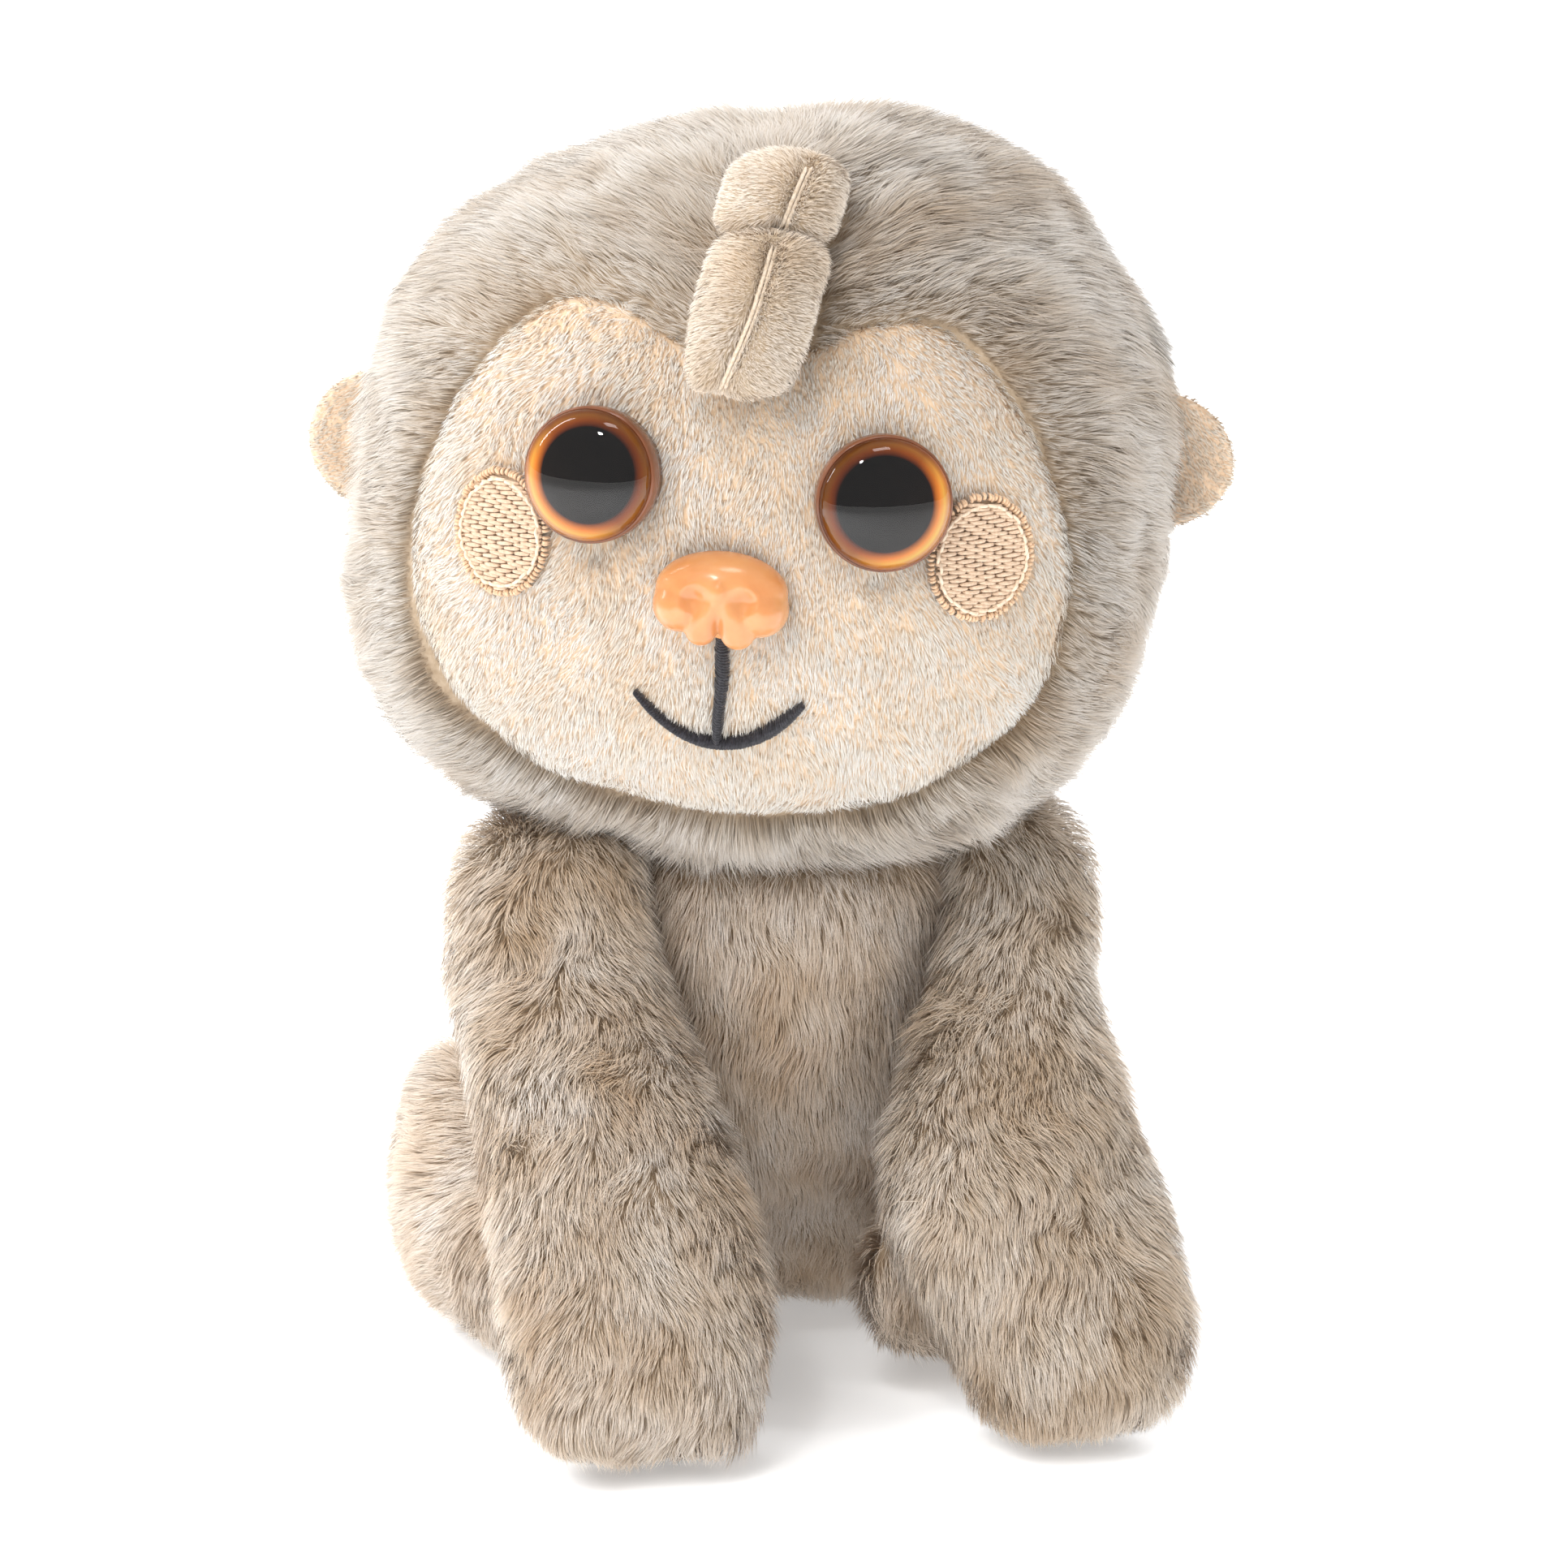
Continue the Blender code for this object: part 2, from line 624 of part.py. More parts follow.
def build_forelock(head):
    (root_y, root_z), _, _ = FORELOCK_UPPER[0]
    pivot_place = (FORELOCK_LEAN * (root_z - FORELOCK_FOOT), root_y, root_z)
    pivot = empty("forelock_pivot", pivot_place, parent=head)
    lobe("forelock_upper", FORELOCK_UPPER, pivot, pivot_place)
    lobe("forelock_lower", FORELOCK_LOWER, pivot, pivot_place)
    upper_end = Vector((0.0, *FORELOCK_UPPER[-1][0]))
    lower_end = Vector((0.0, *FORELOCK_LOWER[0][0]))
    along = (lower_end - upper_end).normalized()
    middle = (upper_end + lower_end) * 0.5
    middle.x = FORELOCK_LEAN * (middle.z - FORELOCK_FOOT)

    curve = bpy.data.curves.new("forelock_tie", "CURVE")
    curve.dimensions = "3D"
    curve.bevel_depth = THREAD_RADIUS
    curve.bevel_resolution = 1
    spline = curve.splines.new("POLY")
    turns = 16
    spline.points.add(turns - 1)
    for i, point in enumerate(spline.points):
        a = 2.0 * math.pi * i / turns
        point.co = (TIE_RADIUS * math.cos(a), TIE_RADIUS * math.sin(a), 0.0, 1.0)
    spline.use_cyclic_u = True
    tie = place("forelock_tie", curve, SEWING_THREAD, pivot)
    aim(tie, middle - Vector(pivot_place), along)


# ---- Neck, torso and limbs ----


def build_neck(neck):
    """The gathering thread that closes the neck and holds the head on."""
    curve = bpy.data.curves.new("neck_thread", "CURVE")
    curve.dimensions = "3D"
    curve.bevel_depth = NECK_THREAD_RADIUS
    curve.bevel_resolution = 1
    spline = curve.splines.new("POLY")
    turns = 16
    spline.points.add(turns - 1)
    for i, point in enumerate(spline.points):
        a = 2.0 * math.pi * i / turns
        point.co = (NECK_LOOP[0] * math.cos(a), NECK_LOOP[1] * math.sin(a), 0.0, 1.0)
    spline.use_cyclic_u = True
    place("neck_thread", curve, SEWING_THREAD, neck)


def torso_rings(inset, lowest=0.0, highest=1.0):
    """The torso's rings pulled in by inset, between two heights."""
    rings = []
    for z, y, half_width, half_depth in TORSO:
        height = min(max(z, lowest), highest)
        ring = level_ring(0.0, y, height, half_width - inset, half_depth - inset, TORSO_SEGMENTS)
        if inset == 0.0 or not rings or height > rings[-1][0][2] + GAP:
            rings.append(ring)
    return rings


def seam_cutter(name, direction, toy):
    """A block on one side of the leaning side seams: in front of them at -1, behind at +1."""

    def build(bm):
        bmesh.ops.create_cube(bm, size=BLOCK)
        bmesh.ops.translate(bm, verts=bm.verts, vec=(0.0, direction * 0.5 * (BLOCK + GAP), 0.0))

    cutter = place_cutter(name, mesh_from(name, build), toy)
    cutter.location = SIDE_SEAM_PLACE
    cutter.rotation_euler = (SIDE_SEAM_LEAN, 0.0, 0.0)
    return cutter


def build_torso(toy):
    neck_height = TORSO[-1][0]

    def open_neck(middle):
        return middle.z > neck_height - 1e-6

    for name, direction in (("body_front", -1.0), ("body_back", 1.0)):
        data = mesh_from(name, lambda bm: ring_stack(bm, torso_rings(0.0), TORSO_SEGMENTS, open_neck))
        cover = place(name, data, BODY_FUR, toy)
        subdivide(cover)
        thicken(cover, SHEET)
        boolean(cover, seam_cutter(name + "_side", direction, toy), "INTERSECT")

    inset = SHEET + FILL_GAP
    fill = torso_rings(inset, BAG_TOP + GAP, FILL_TOP)
    stuffing = place("body_stuffing",
                     mesh_from("body_stuffing", lambda bm: ring_stack(bm, fill, TORSO_SEGMENTS)),
                     STUFFING, toy)
    subdivide(stuffing)
    pellets = torso_rings(inset, SHEET + FILL_GAP, BAG_TOP)
    bag = place("pellet_bag", mesh_from("pellet_bag", lambda bm: ring_stack(bm, pellets, TORSO_SEGMENTS)),
                PELLETS, toy)
    subdivide(bag)


def build_label(toy):
    def build(bm):
        bmesh.ops.create_cube(bm, size=1.0)
        bmesh.ops.scale(bm, verts=bm.verts, vec=LABEL_SIZE)

    label = place("care_label", mesh_from("care_label", build), LABEL_TAPE, toy)
    label.location = LABEL_PLACE


def build_arm(side, sign, toy):
    pivot_place = (sign * SHOULDER[0], SHOULDER[1], SHOULDER[2])
    pivot = empty("shoulder_" + side, pivot_place, parent=toy)

    def rings(inset):
        made = []
        for x, y, z, half_width, half_depth in ARM:
            height = min(max(z, inset), ARM[-1][2] - inset)
            if inset > 0.0 and made and height < made[-1][0][2] + GAP:
                made.pop()
            made.append(level_ring(x, y, height, half_width - inset, half_depth - inset, ARM_SEGMENTS))
        inner = made if inset == 0.0 else made[:-1]
        return local(mirrored(inner, sign), pivot_place)

    def mouth(middle):
        inward = sign * middle.x < -ARM_MOUTH_SIDE
        return inward and middle.z + SHOULDER[2] > ARM_MOUTH_LOW

    cover = place("arm_cover_" + side,
                  mesh_from("arm_cover", lambda bm: ring_stack(bm, rings(0.0), ARM_SEGMENTS, mouth)),
                  BODY_FUR, pivot)
    subdivide(cover)
    thicken(cover, SHEET)
    fill = rings(SHEET + SLOPE_GAP)
    stuffing = place("arm_stuffing_" + side,
                     mesh_from("arm_stuffing", lambda bm: ring_stack(bm, fill, ARM_SEGMENTS)),
                     STUFFING, pivot)
    subdivide(stuffing)


def build_leg(side, sign, toy):
    pivot_place = (sign * HIP[0], HIP[1], HIP[2])
    pivot = empty("hip_" + side, pivot_place, parent=toy)

    def rings(inset):
        made = []
        for n, (x, y, z, half_width, half_height) in enumerate(LEG):
            before = LEG[max(n - 1, 0)]
            after = LEG[min(n + 1, len(LEG) - 1)]
            heading = math.atan2(after[0] - before[0], before[1] - after[1])
            ring = upright_ring(x, y, z, half_width - inset, half_height - inset, heading, LEG_SEGMENTS)
            made.append(ring)
        inner = made if inset == 0.0 else made[1:-1]
        return local(mirrored(inner, sign), pivot_place)

    def mouth(middle):
        inward = sign * middle.x < -LEG_MOUTH_SIDE
        return inward and abs(middle.y) < LEG_MOUTH and abs(middle.z) < LEG_MOUTH

    cover = place("leg_cover_" + side,
                  mesh_from("leg_cover", lambda bm: ring_stack(bm, rings(0.0), LEG_SEGMENTS, mouth)),
                  BODY_FUR, pivot)
    subdivide(cover)
    thicken(cover, SHEET)
    fill = rings(SHEET + SLOPE_GAP)
    stuffing = place("leg_stuffing_" + side,
                     mesh_from("leg_stuffing", lambda bm: ring_stack(bm, fill, LEG_SEGMENTS)),
                     STUFFING, pivot)
    subdivide(stuffing)


def main():
    clear_scene()
    new_collection(PARTS, hidden=False)
    new_collection(CUTTERS, hidden=True)
    toy = empty("toy", TOY_PLACE)
    build_torso(toy)
    build_label(toy)
    for side, sign in SIDES:
        build_arm(side, sign, toy)
        build_leg(side, sign, toy)
    neck = empty("neck_pivot", NECK_PIVOT, parent=toy)
    build_neck(neck)
    head_place = Vector(HEAD_CENTRE) - Vector(NECK_PIVOT)
    head = empty("head_frame", head_place, (0.0, HEAD_TIP, HEAD_TURN), parent=neck)
    panel, stuffing = build_head(head)
    build_face(head, panel, stuffing)
    build_ears(head)
    build_forelock(head)


main()
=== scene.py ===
"""The looks of a small stuffed monkey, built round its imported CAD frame.

Metres, +Z up. The toy faces -Y, so its own left side is at +X. Fur is made of thin tapered blades that
grow from closed skins; the face carries short pile, a vinyl nose, clear domed eyes and embroidery.
"""

import json
import math
from collections import namedtuple

import bmesh
import bpy
import numpy as np
from mathutils import Matrix, Vector
from mathutils.bvhtree import BVHTree
from mathutils.kdtree import KDTree

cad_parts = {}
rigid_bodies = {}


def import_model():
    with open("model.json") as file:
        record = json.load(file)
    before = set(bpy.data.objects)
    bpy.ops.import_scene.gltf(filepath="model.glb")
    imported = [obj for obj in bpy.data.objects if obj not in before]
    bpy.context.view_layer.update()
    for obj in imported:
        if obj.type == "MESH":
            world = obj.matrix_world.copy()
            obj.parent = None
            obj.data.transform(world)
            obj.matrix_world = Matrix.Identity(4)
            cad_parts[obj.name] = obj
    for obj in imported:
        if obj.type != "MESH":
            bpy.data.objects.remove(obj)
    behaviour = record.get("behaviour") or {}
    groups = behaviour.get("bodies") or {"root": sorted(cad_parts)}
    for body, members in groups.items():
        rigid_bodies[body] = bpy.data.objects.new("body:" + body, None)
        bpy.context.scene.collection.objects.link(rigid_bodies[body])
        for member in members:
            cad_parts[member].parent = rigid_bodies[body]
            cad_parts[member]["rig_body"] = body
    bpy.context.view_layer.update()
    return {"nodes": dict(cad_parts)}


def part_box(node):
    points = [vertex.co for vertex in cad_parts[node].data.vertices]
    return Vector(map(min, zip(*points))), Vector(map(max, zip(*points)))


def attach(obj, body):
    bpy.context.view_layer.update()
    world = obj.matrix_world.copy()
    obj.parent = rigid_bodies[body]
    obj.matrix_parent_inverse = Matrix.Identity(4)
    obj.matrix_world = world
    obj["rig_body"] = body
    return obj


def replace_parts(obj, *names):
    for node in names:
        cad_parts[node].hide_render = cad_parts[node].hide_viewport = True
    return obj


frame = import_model()

MM = 0.001
SIDES = (("left", 1.0), ("right", -1.0))

# ---- Camera ----
CAMERA_AZIMUTH = math.radians(-10.0)
CAMERA_ELEVATION = math.radians(15.0)
CAMERA_DISTANCE = 0.85
CAMERA_TARGET = (0.0009, 0.0031, 0.0744)
CAMERA_LENS = 158.4
CAMERA_SENSOR = 36.0

# ---- Head: a rounded block, as in the CAD part ----
HEAD_HALF = np.array((0.0480, 0.0430, 0.0440))
HEAD_POWER = 2.35
HEAD_TURN = math.radians(-16.0)
HEAD_TIP = math.radians(3.0)
HEAD_SKIN_INSET = 1.6 * MM
FACE_INSET = 1.3 * MM
FACE_MIDDLE = (0.0, -4.0 * MM)
# Where the stuffing pushes the head out or leaves it flat: a direction, its reach and the amount.
HEAD_PADS = (
    ((-0.82, 0.10, -0.50), 0.50, 4.6 * MM),
    ((0.78, 0.10, -0.60), 0.45, 1.6 * MM),
    ((0.45, 0.0, 0.90), 0.45, 2.7 * MM),
    ((-0.45, 0.0, 0.90), 0.40, -2.1 * MM),
)

# The head cover laps over the edge of the face here: a place in its front plane, the reach and the amount.
LAP_PLACE = (34.0 * MM, -19.0 * MM)
LAP_REACH = 14.0 * MM
LAP = 1.7 * MM

# ---- Features of the face: places in the head's front plane (x, z) ----
EYES = {"left": (17.5 * MM, 7.4 * MM), "right": (-16.1 * MM, 8.3 * MM)}
EYE_RADIUS = 7.7 * MM
EYE_CLEAR = 7.3 * MM  # no pile grows this near the middle of an eye, or of the nose
NOSE_CLEAR = 5.0 * MM
EYE_BASE = 1.15 * MM
EYE_RISE = 4.5 * MM
COLLAR_DEPTH = 3.4 * MM  # how far the rim's collar reaches down into the fabric
# Painted glow: each iris is painted brighter towards this side, where light through its lens would gather,
# and it also glows by emission.
PAINTED_GLOW_WAYS = {"left": (0.84, -0.54, 0.0), "right": (-0.75, -0.66, 0.0)}
# The stem of an eye pulls the fabric in round it, and there is a pucker this far below its middle.
STEM_PULL = 0.7 * MM
STEM_REACH = 9.5 * MM
PUCKER_DROP = 9.8 * MM
PUCKER = 0.9 * MM
PUCKER_REACH = 1.5 * MM
NOSE = (-0.3 * MM, -5.1 * MM)
NOSE_CELL = 0.25 * MM
NOSE_LIFT = 0.9 * MM
MOUTH_TOP = -9.8 * MM
MOUTH_BOTTOM = -23.6 * MM
MOUTH_END = (9.9 * MM, -17.6 * MM)
CHEEKS = {"left": (29.1 * MM, 0.6 * MM), "right": (-27.3 * MM, -0.3 * MM)}
CHEEK_HALF = (5.7 * MM, 7.4 * MM)
# Embroidery: the radius of its threads, how far a stitch goes into the fabric and how high it arches.
THREAD_RADIUS = 0.26 * MM
EDGE_RADIUS = 0.20 * MM
STITCH_STEP = 0.34 * MM
STITCH_FOOT = -0.8 * MM
STITCH_TOP = 0.50 * MM
CHEEK_ROW = 0.46 * MM
CHEEK_STITCH = 2.1 * MM

# ---- Ears: how far each stands out and half its height, and how much lower than its CAD place it sits ----
EAR_HALF = {"left": (9.4 * MM, 8.4 * MM), "right": (9.9 * MM, 8.9 * MM)}
EAR_DROP = {"left": -0.9 * MM, "right": -0.4 * MM}
EAR_THICK = 1.9 * MM
EAR_CUP = 1.6 * MM

# ---- Covers: the moves are where stuffing and sewing pull them, as a place, its reach and the shift ----
BODY_INSET, BODY_SWELL = 1.6 * MM, 1.5 * MM
LIMB_INSET, LIMB_SWELL = 1.8 * MM, 1.2 * MM
SKIN_CELL = 3.5 * MM
BODY_MOVES = (
    ((0.002, -0.004, 0.002), 0.018, (0.0, 0.005, 0.012)),
    ((0.002, -0.002, 0.066), 0.022, (0.0, -0.001, 0.0045)),
    ((-0.020, 0.000, 0.066), 0.013, (-0.006, 0.0, 0.003)),
    ((0.022, 0.000, 0.066), 0.013, (0.005, 0.0, 0.003)),
)
ARM_MOVES = {
    "left": (
        ((0.046, -0.014, 0.050), 0.017, (-0.0055, 0.0, 0.0)),
        ((0.026, -0.004, 0.070), 0.013, (-0.005, 0.0, 0.008)),
        ((0.029, -0.052, 0.000), 0.013, (0.0, 0.0045, 0.0040)),
        ((0.014, -0.030, 0.032), 0.024, (-0.0065, 0.0, 0.0)),
        ((0.047, -0.022, 0.036), 0.013, (-0.0004, 0.0, 0.0)),
        ((0.047, -0.040, 0.016), 0.014, (0.0031, 0.0, 0.0)),
        ((0.010, -0.046, 0.014), 0.016, (0.0085, 0.0, 0.0)),
    ),
    "right": (
        ((-0.044, -0.006, 0.058), 0.018, (-0.0048, 0.0, 0.0)),
        ((-0.026, -0.004, 0.070), 0.013, (0.005, 0.0, 0.008)),
        ((-0.038, -0.004, 0.071), 0.011, (-0.0022, 0.0, 0.0022)),
        ((-0.025, -0.052, 0.000), 0.013, (0.0, 0.0045, 0.0060)),
        ((-0.009, -0.038, 0.016), 0.018, (0.0030, 0.0, 0.0)),
    ),
}
LEG_MOVES = {
    "left": (
        ((0.0145, -0.016, 0.016), 0.013, (-0.0066, -0.0020, 0.0)),
    ),
    "right": (
        ((-0.046, 0.022, 0.012), 0.014, (-0.0026, 0.0, -0.0010)),
        ((-0.041, 0.020, 0.034), 0.012, (-0.0020, 0.0, 0.0030)),
    ),
}

# Folds and darts: the points that each runs through.
CREASES = {
    "body": (((-0.0012, -0.014, 0.062), (0.0013, -0.014, 0.0557), (0.0108, -0.012, 0.0475)),),
    "arm_right": (
        ((-0.029, -0.036, 0.052), (-0.024, -0.046, 0.032), (-0.018, -0.050, 0.0124)),
        ((-0.038, -0.030, 0.050), (-0.020, -0.034, 0.045)),
    ),
    "arm_left": (((0.030, -0.030, 0.060), (0.034, -0.044, 0.030)),),
}
# The seam of each lobe of the forelock: how much it leans, and the height in the head where it would
# meet the middle.
LOBE_SEAMS = {"upper": (0.42, 29.2 * MM), "lower": (0.27, 23.6 * MM)}
SEAM_WANDER = 0.40 * MM
SEAM_WAVE = 3.6 * MM
SEAM_HALF_GAP = 0.50 * MM
SEAM_EDGES = ((-1.0, 0.50 * MM), (1.0, 0.28 * MM))  # the side of each raw edge, and how high it stands
LOCK_CELL = 0.55 * MM
LOCK_INSET = 0.3 * MM
# The seam pulls a dent into a lobe, and the padding rises beside it.
DENT, DENT_REACH = 1.0 * MM, 1.1 * MM
PILLOW, PILLOW_REACH, PILLOW_PLACE = 0.5 * MM, 2.0 * MM, 3.2 * MM
# Towards the thread that gathers them, the lobes slide together and spread.
GATHER_SLIDE = 1.1 * MM
GATHER_SPREAD = 0.28
GATHER_REACH = 4.2 * MM
TIE_TURNS = 3
TIE_RADIUS = 1.5 * MM
TIE_THREAD = 0.16 * MM
TIE_HALF_WIDTH = 0.4 * MM
# Fur of the head keeps clear of the forelock, and is short beside it.
LOCK_ABOVE = 9.0 * MM
LOCK_CLEAR = 0.7 * MM
LOCK_SHORTENS = 6.0 * MM

CREASE_DEPTH = 3.3 * MM
CREASE_WIDTH = 2.4 * MM

# Density is in blades per square millimetre. Rise is the share of its length by which a tip stands off
# the skin. Clump is the distance between tufts, and pull how far tips lean into them.
Fur = namedtuple("Fur", "density length width rise clump pull swirl steps")
HEAD_FUR = Fur(13.0, 5.2 * MM, 0.105 * MM, 0.62, 1.7 * MM, 0.32, 0.30, 2)
BODY_FUR = Fur(13.0, 4.5 * MM, 0.105 * MM, 0.60, 1.6 * MM, 0.30, 0.36, 2)
TORSO_FUR = Fur(13.0, 4.1 * MM, 0.105 * MM, 0.58, 1.4 * MM, 0.20, 0.26, 2)
FACE_PILE = Fur(14.0, 1.5 * MM, 0.13 * MM, 0.60, 1.1 * MM, 0.22, 0.30, 2)
EAR_PILE = Fur(14.0, 1.1 * MM, 0.14 * MM, 0.60, 1.0 * MM, 0.20, 0.40, 2)
LOCK_PILE = Fur(34.0, 1.2 * MM, 0.09 * MM, 0.62, 0.7 * MM, 0.15, 0.25, 2)
BLADES_IN_PIECE = 64000
BLADE_FLOOR, SKIN_FLOOR = 0.3 * MM, 0.6 * MM  # no blade and no skin goes lower


# ---- Small tools ----


def srgb(red, green, blue):
    """A colour given as the 0 to 255 values of a screen, in linear light."""
    values = []
    for value in (red, green, blue):
        share = value / 255.0
        values.append(share / 12.92 if share <= 0.04045 else ((share + 0.055) / 1.055) ** 2.4)
    return (*values, 1.0)


def unit(vectors):
    return vectors / np.maximum(np.linalg.norm(vectors, axis=-1, keepdims=True), 1e-12)


def near(places, middle, reach):
    """How near places are to a middle: 1 there, and falling off over the reach."""
    return np.exp(-((places - np.array(middle)) ** 2).sum(axis=-1) / reach**2)


def ripples(points, size, seed, count=14):
    """A smooth random value, mostly from -1 to 1, at each point. Its features have about the given size."""
    rng = np.random.default_rng(seed)
    waves = unit(rng.normal(size=(count, 3))) * (2.0 * math.pi / size)
    waves *= rng.uniform(0.5, 1.3, (count, 1))
    phases = rng.uniform(0.0, 2.0 * math.pi, count)
    return np.sin(points @ waves.T + phases).sum(axis=1) * math.sqrt(1.0 / count)


def node_mesh(name):
    return frame["nodes"][name].data


def node_tree(*names):
    """A search tree over the surfaces of CAD nodes."""
    bm = bmesh.new()
    for name in names:
        bm.from_mesh(node_mesh(name))
    tree = BVHTree.FromBMesh(bm)
    bm.free()
    return tree


def wear(data, finish):
    data.materials.clear()
    data.materials.append(finish)


def add_object(name, data, body, finish):
    """Puts a mesh into the scene as a piece that rides on a CAD body."""
    obj = bpy.data.objects.new(name, data)
    bpy.context.scene.collection.objects.link(obj)
    wear(data, finish)
    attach(obj, body)
    return obj


def mesh_from(name, bm):
    data = bpy.data.meshes.new(name)
    bm.to_mesh(data)
    bm.free()
    return data


def mesh_of(name, points, corners, sizes):
    """A smooth mesh from vertex places, the corner list of its faces and each face's number of corners."""
    data = bpy.data.meshes.new(name)
    data.vertices.add(len(points))
    data.vertices.foreach_set("co", np.ascontiguousarray(points, np.float32).ravel())
    data.loops.add(len(corners))
    data.loops.foreach_set("vertex_index", np.ascontiguousarray(corners, np.int32))
    data.polygons.add(len(sizes))
    starts = np.concatenate(([0], np.cumsum(sizes)[:-1]))
    data.polygons.foreach_set("loop_start", np.ascontiguousarray(starts, np.int32))
    data.update(calc_edges=True)
    data.shade_smooth()
    return data


def grid_quads(rows, columns, start=0, closed=True):
    """The corners of the faces between rows of points. A closed grid joins its last column to its first."""
    quads = []
    for i in range(rows - 1):
        low = start + i * columns
        for j in range(columns if closed else columns - 1):
            k = (j + 1) % columns
            quads.append((low + j, low + k, low + columns + k, low + columns + j))
    return np.array(quads)


def vectors_of(items, attribute):
    values = np.empty(len(items) * 3, np.float32)
    items.foreach_get(attribute, values)
    return values.reshape(-1, 3).astype(float)


def places_of(data):
    return vectors_of(data.vertices, "co")


def normals_of(data):
    return vectors_of(data.vertex_normals, "vector")


def set_places(data, places):
    data.vertices.foreach_set("co", np.ascontiguousarray(places, np.float32).ravel())
    data.update()


def apply_modifiers(obj):
    graph = bpy.context.evaluated_depsgraph_get()
    data = bpy.data.meshes.new_from_object(obj.evaluated_get(graph))
    obj.modifiers.clear()
    obj.data = data
    data.shade_smooth()


def remeshed(obj, cell, rounds):
    """Rebuilds a piece from even cells and smooths it."""
    remesh = obj.modifiers.new("Even cells", "REMESH")
    remesh.mode = "VOXEL"
    remesh.voxel_size = cell
    smooth = obj.modifiers.new("Rounded", "SMOOTH")
    smooth.factor = 0.5
    smooth.iterations = rounds
    apply_modifiers(obj)


def made_finer(obj):
    obj.modifiers.new("Finer", "SUBSURF").levels = 1
    apply_modifiers(obj)


# ---- Materials ----


def new_finish(name, roughness, specular=0.5, sheen=0.0):
    finish = bpy.data.materials.new(name)
    finish.use_nodes = True
    shader = finish.node_tree.nodes["Principled BSDF"]
    shader.inputs["Roughness"].default_value = roughness
    shader.inputs["Specular IOR Level"].default_value = specular
    shader.inputs["Sheen Weight"].default_value = sheen
    shader.inputs["Sheen Roughness"].default_value = 0.45
    return finish, finish.node_tree, shader


def add_node(tree, kind, **inputs):
    made = tree.nodes.new(kind)
    for name, value in inputs.items():
        made.inputs[name.replace("_", " ")].default_value = value
    return made


def ramp(tree, source, stops):
    """A colour ramp fed by source, with stops as (place, colour)."""
    made = tree.nodes.new("ShaderNodeValToRGB")
    elements = made.color_ramp.elements
    while len(elements) < len(stops):
        elements.new(0.5)
    for element, (place, colour) in zip(elements, stops):
        element.position = place
        element.color = colour
    tree.links.new(source, made.inputs["Fac"])
    return made.outputs["Color"]


def multiply(tree, first, second):
    made = tree.nodes.new("ShaderNodeMix")
    made.data_type = "RGBA"
    made.blend_type = "MULTIPLY"
    made.inputs[0].default_value = 1.0
    tree.links.new(first, made.inputs[6])
    tree.links.new(second, made.inputs[7])
    return made.outputs[2]


def bump_from(tree, shader, height, strength, distance):
    bump = add_node(tree, "ShaderNodeBump", Strength=strength, Distance=distance)
    tree.links.new(height, bump.inputs["Height"])
    tree.links.new(bump.outputs["Normal"], shader.inputs["Normal"])


def noise(tree, scale, detail, rough=0.5):
    """Cloudy noise in a piece's own space."""
    place = tree.nodes.new("ShaderNodeTexCoord")
    made = add_node(tree, "ShaderNodeTexNoise", Scale=scale, Detail=detail, Roughness=rough)
    tree.links.new(place.outputs["Object"], made.inputs["Vector"])
    return made.outputs["Fac"]


def fur_finish(name, root, middle, tip, dull, plain):
    """Fur whose blades run from a dark root to a pale tip; the darker root is partly the fibres' own colour
    and partly painted shade deep in the pile. The blades' own map says where: across it is the tint of the
    blade, from dull to white, and up it is the way from root to tip."""
    finish, tree, shader = new_finish(name, 0.85, 0.12, 0.25)
    blade_map = tree.nodes.new("ShaderNodeUVMap")
    blade_map.uv_map = "OFBake"
    parts = tree.nodes.new("ShaderNodeSeparateXYZ")
    tree.links.new(blade_map.outputs["UV"], parts.inputs["Vector"])
    # Partly painted shade: each blade darkens towards its root.
    along = ramp(tree, parts.outputs["Y"], ((0.0, srgb(*root)), (0.45, srgb(*middle)), (1.0, srgb(*tip))))
    tints = ((0.0, srgb(*dull)), (0.5, srgb(*plain)), (1.0, srgb(255, 255, 255)))
    tree.links.new(multiply(tree, along, ramp(tree, parts.outputs["X"], tints)), shader.inputs["Base Color"])
    return finish


def cloudy_finish(name, low, high, roughness, sheen, cloud, bump=None, grain=None, edge=0.3, specular=0.5):
    """A finish whose colour clouds between two. Cloud and grain describe noise, and the relief, given as
    its strength and height, follows the grain, or else the cloud."""
    finish, tree, shader = new_finish(name, roughness, specular, sheen)
    clouds = noise(tree, *cloud)
    colour = ramp(tree, clouds, ((edge, srgb(*low)), (1.0 - edge, srgb(*high))))
    tree.links.new(colour, shader.inputs["Base Color"])
    if bump:
        bump_from(tree, shader, noise(tree, *grain) if grain else clouds, *bump)
    return finish


# The knitted backing that fur grows from, a woven tape, twisted thread and moulded plastic.
CLOTH = {"cloud": (900.0, 3.0, 0.6), "bump": (0.5, 0.2 * MM), "specular": 0.2}
TAPE = {**CLOTH, "cloud": (2200.0, 3.0, 0.6)}
THREAD = {"cloud": (2600.0, 2.0), "bump": (0.4, 0.08 * MM), "edge": 0.35, "specular": 0.45}
PLASTIC = {"cloud": (180.0, 2.0), "grain": (2400.0, 1.0), "bump": (0.15, 0.05 * MM)}
VINYL = {"cloud": (220.0, 3.0), "grain": (1500.0, 2.0), "bump": (0.12, 0.06 * MM)}


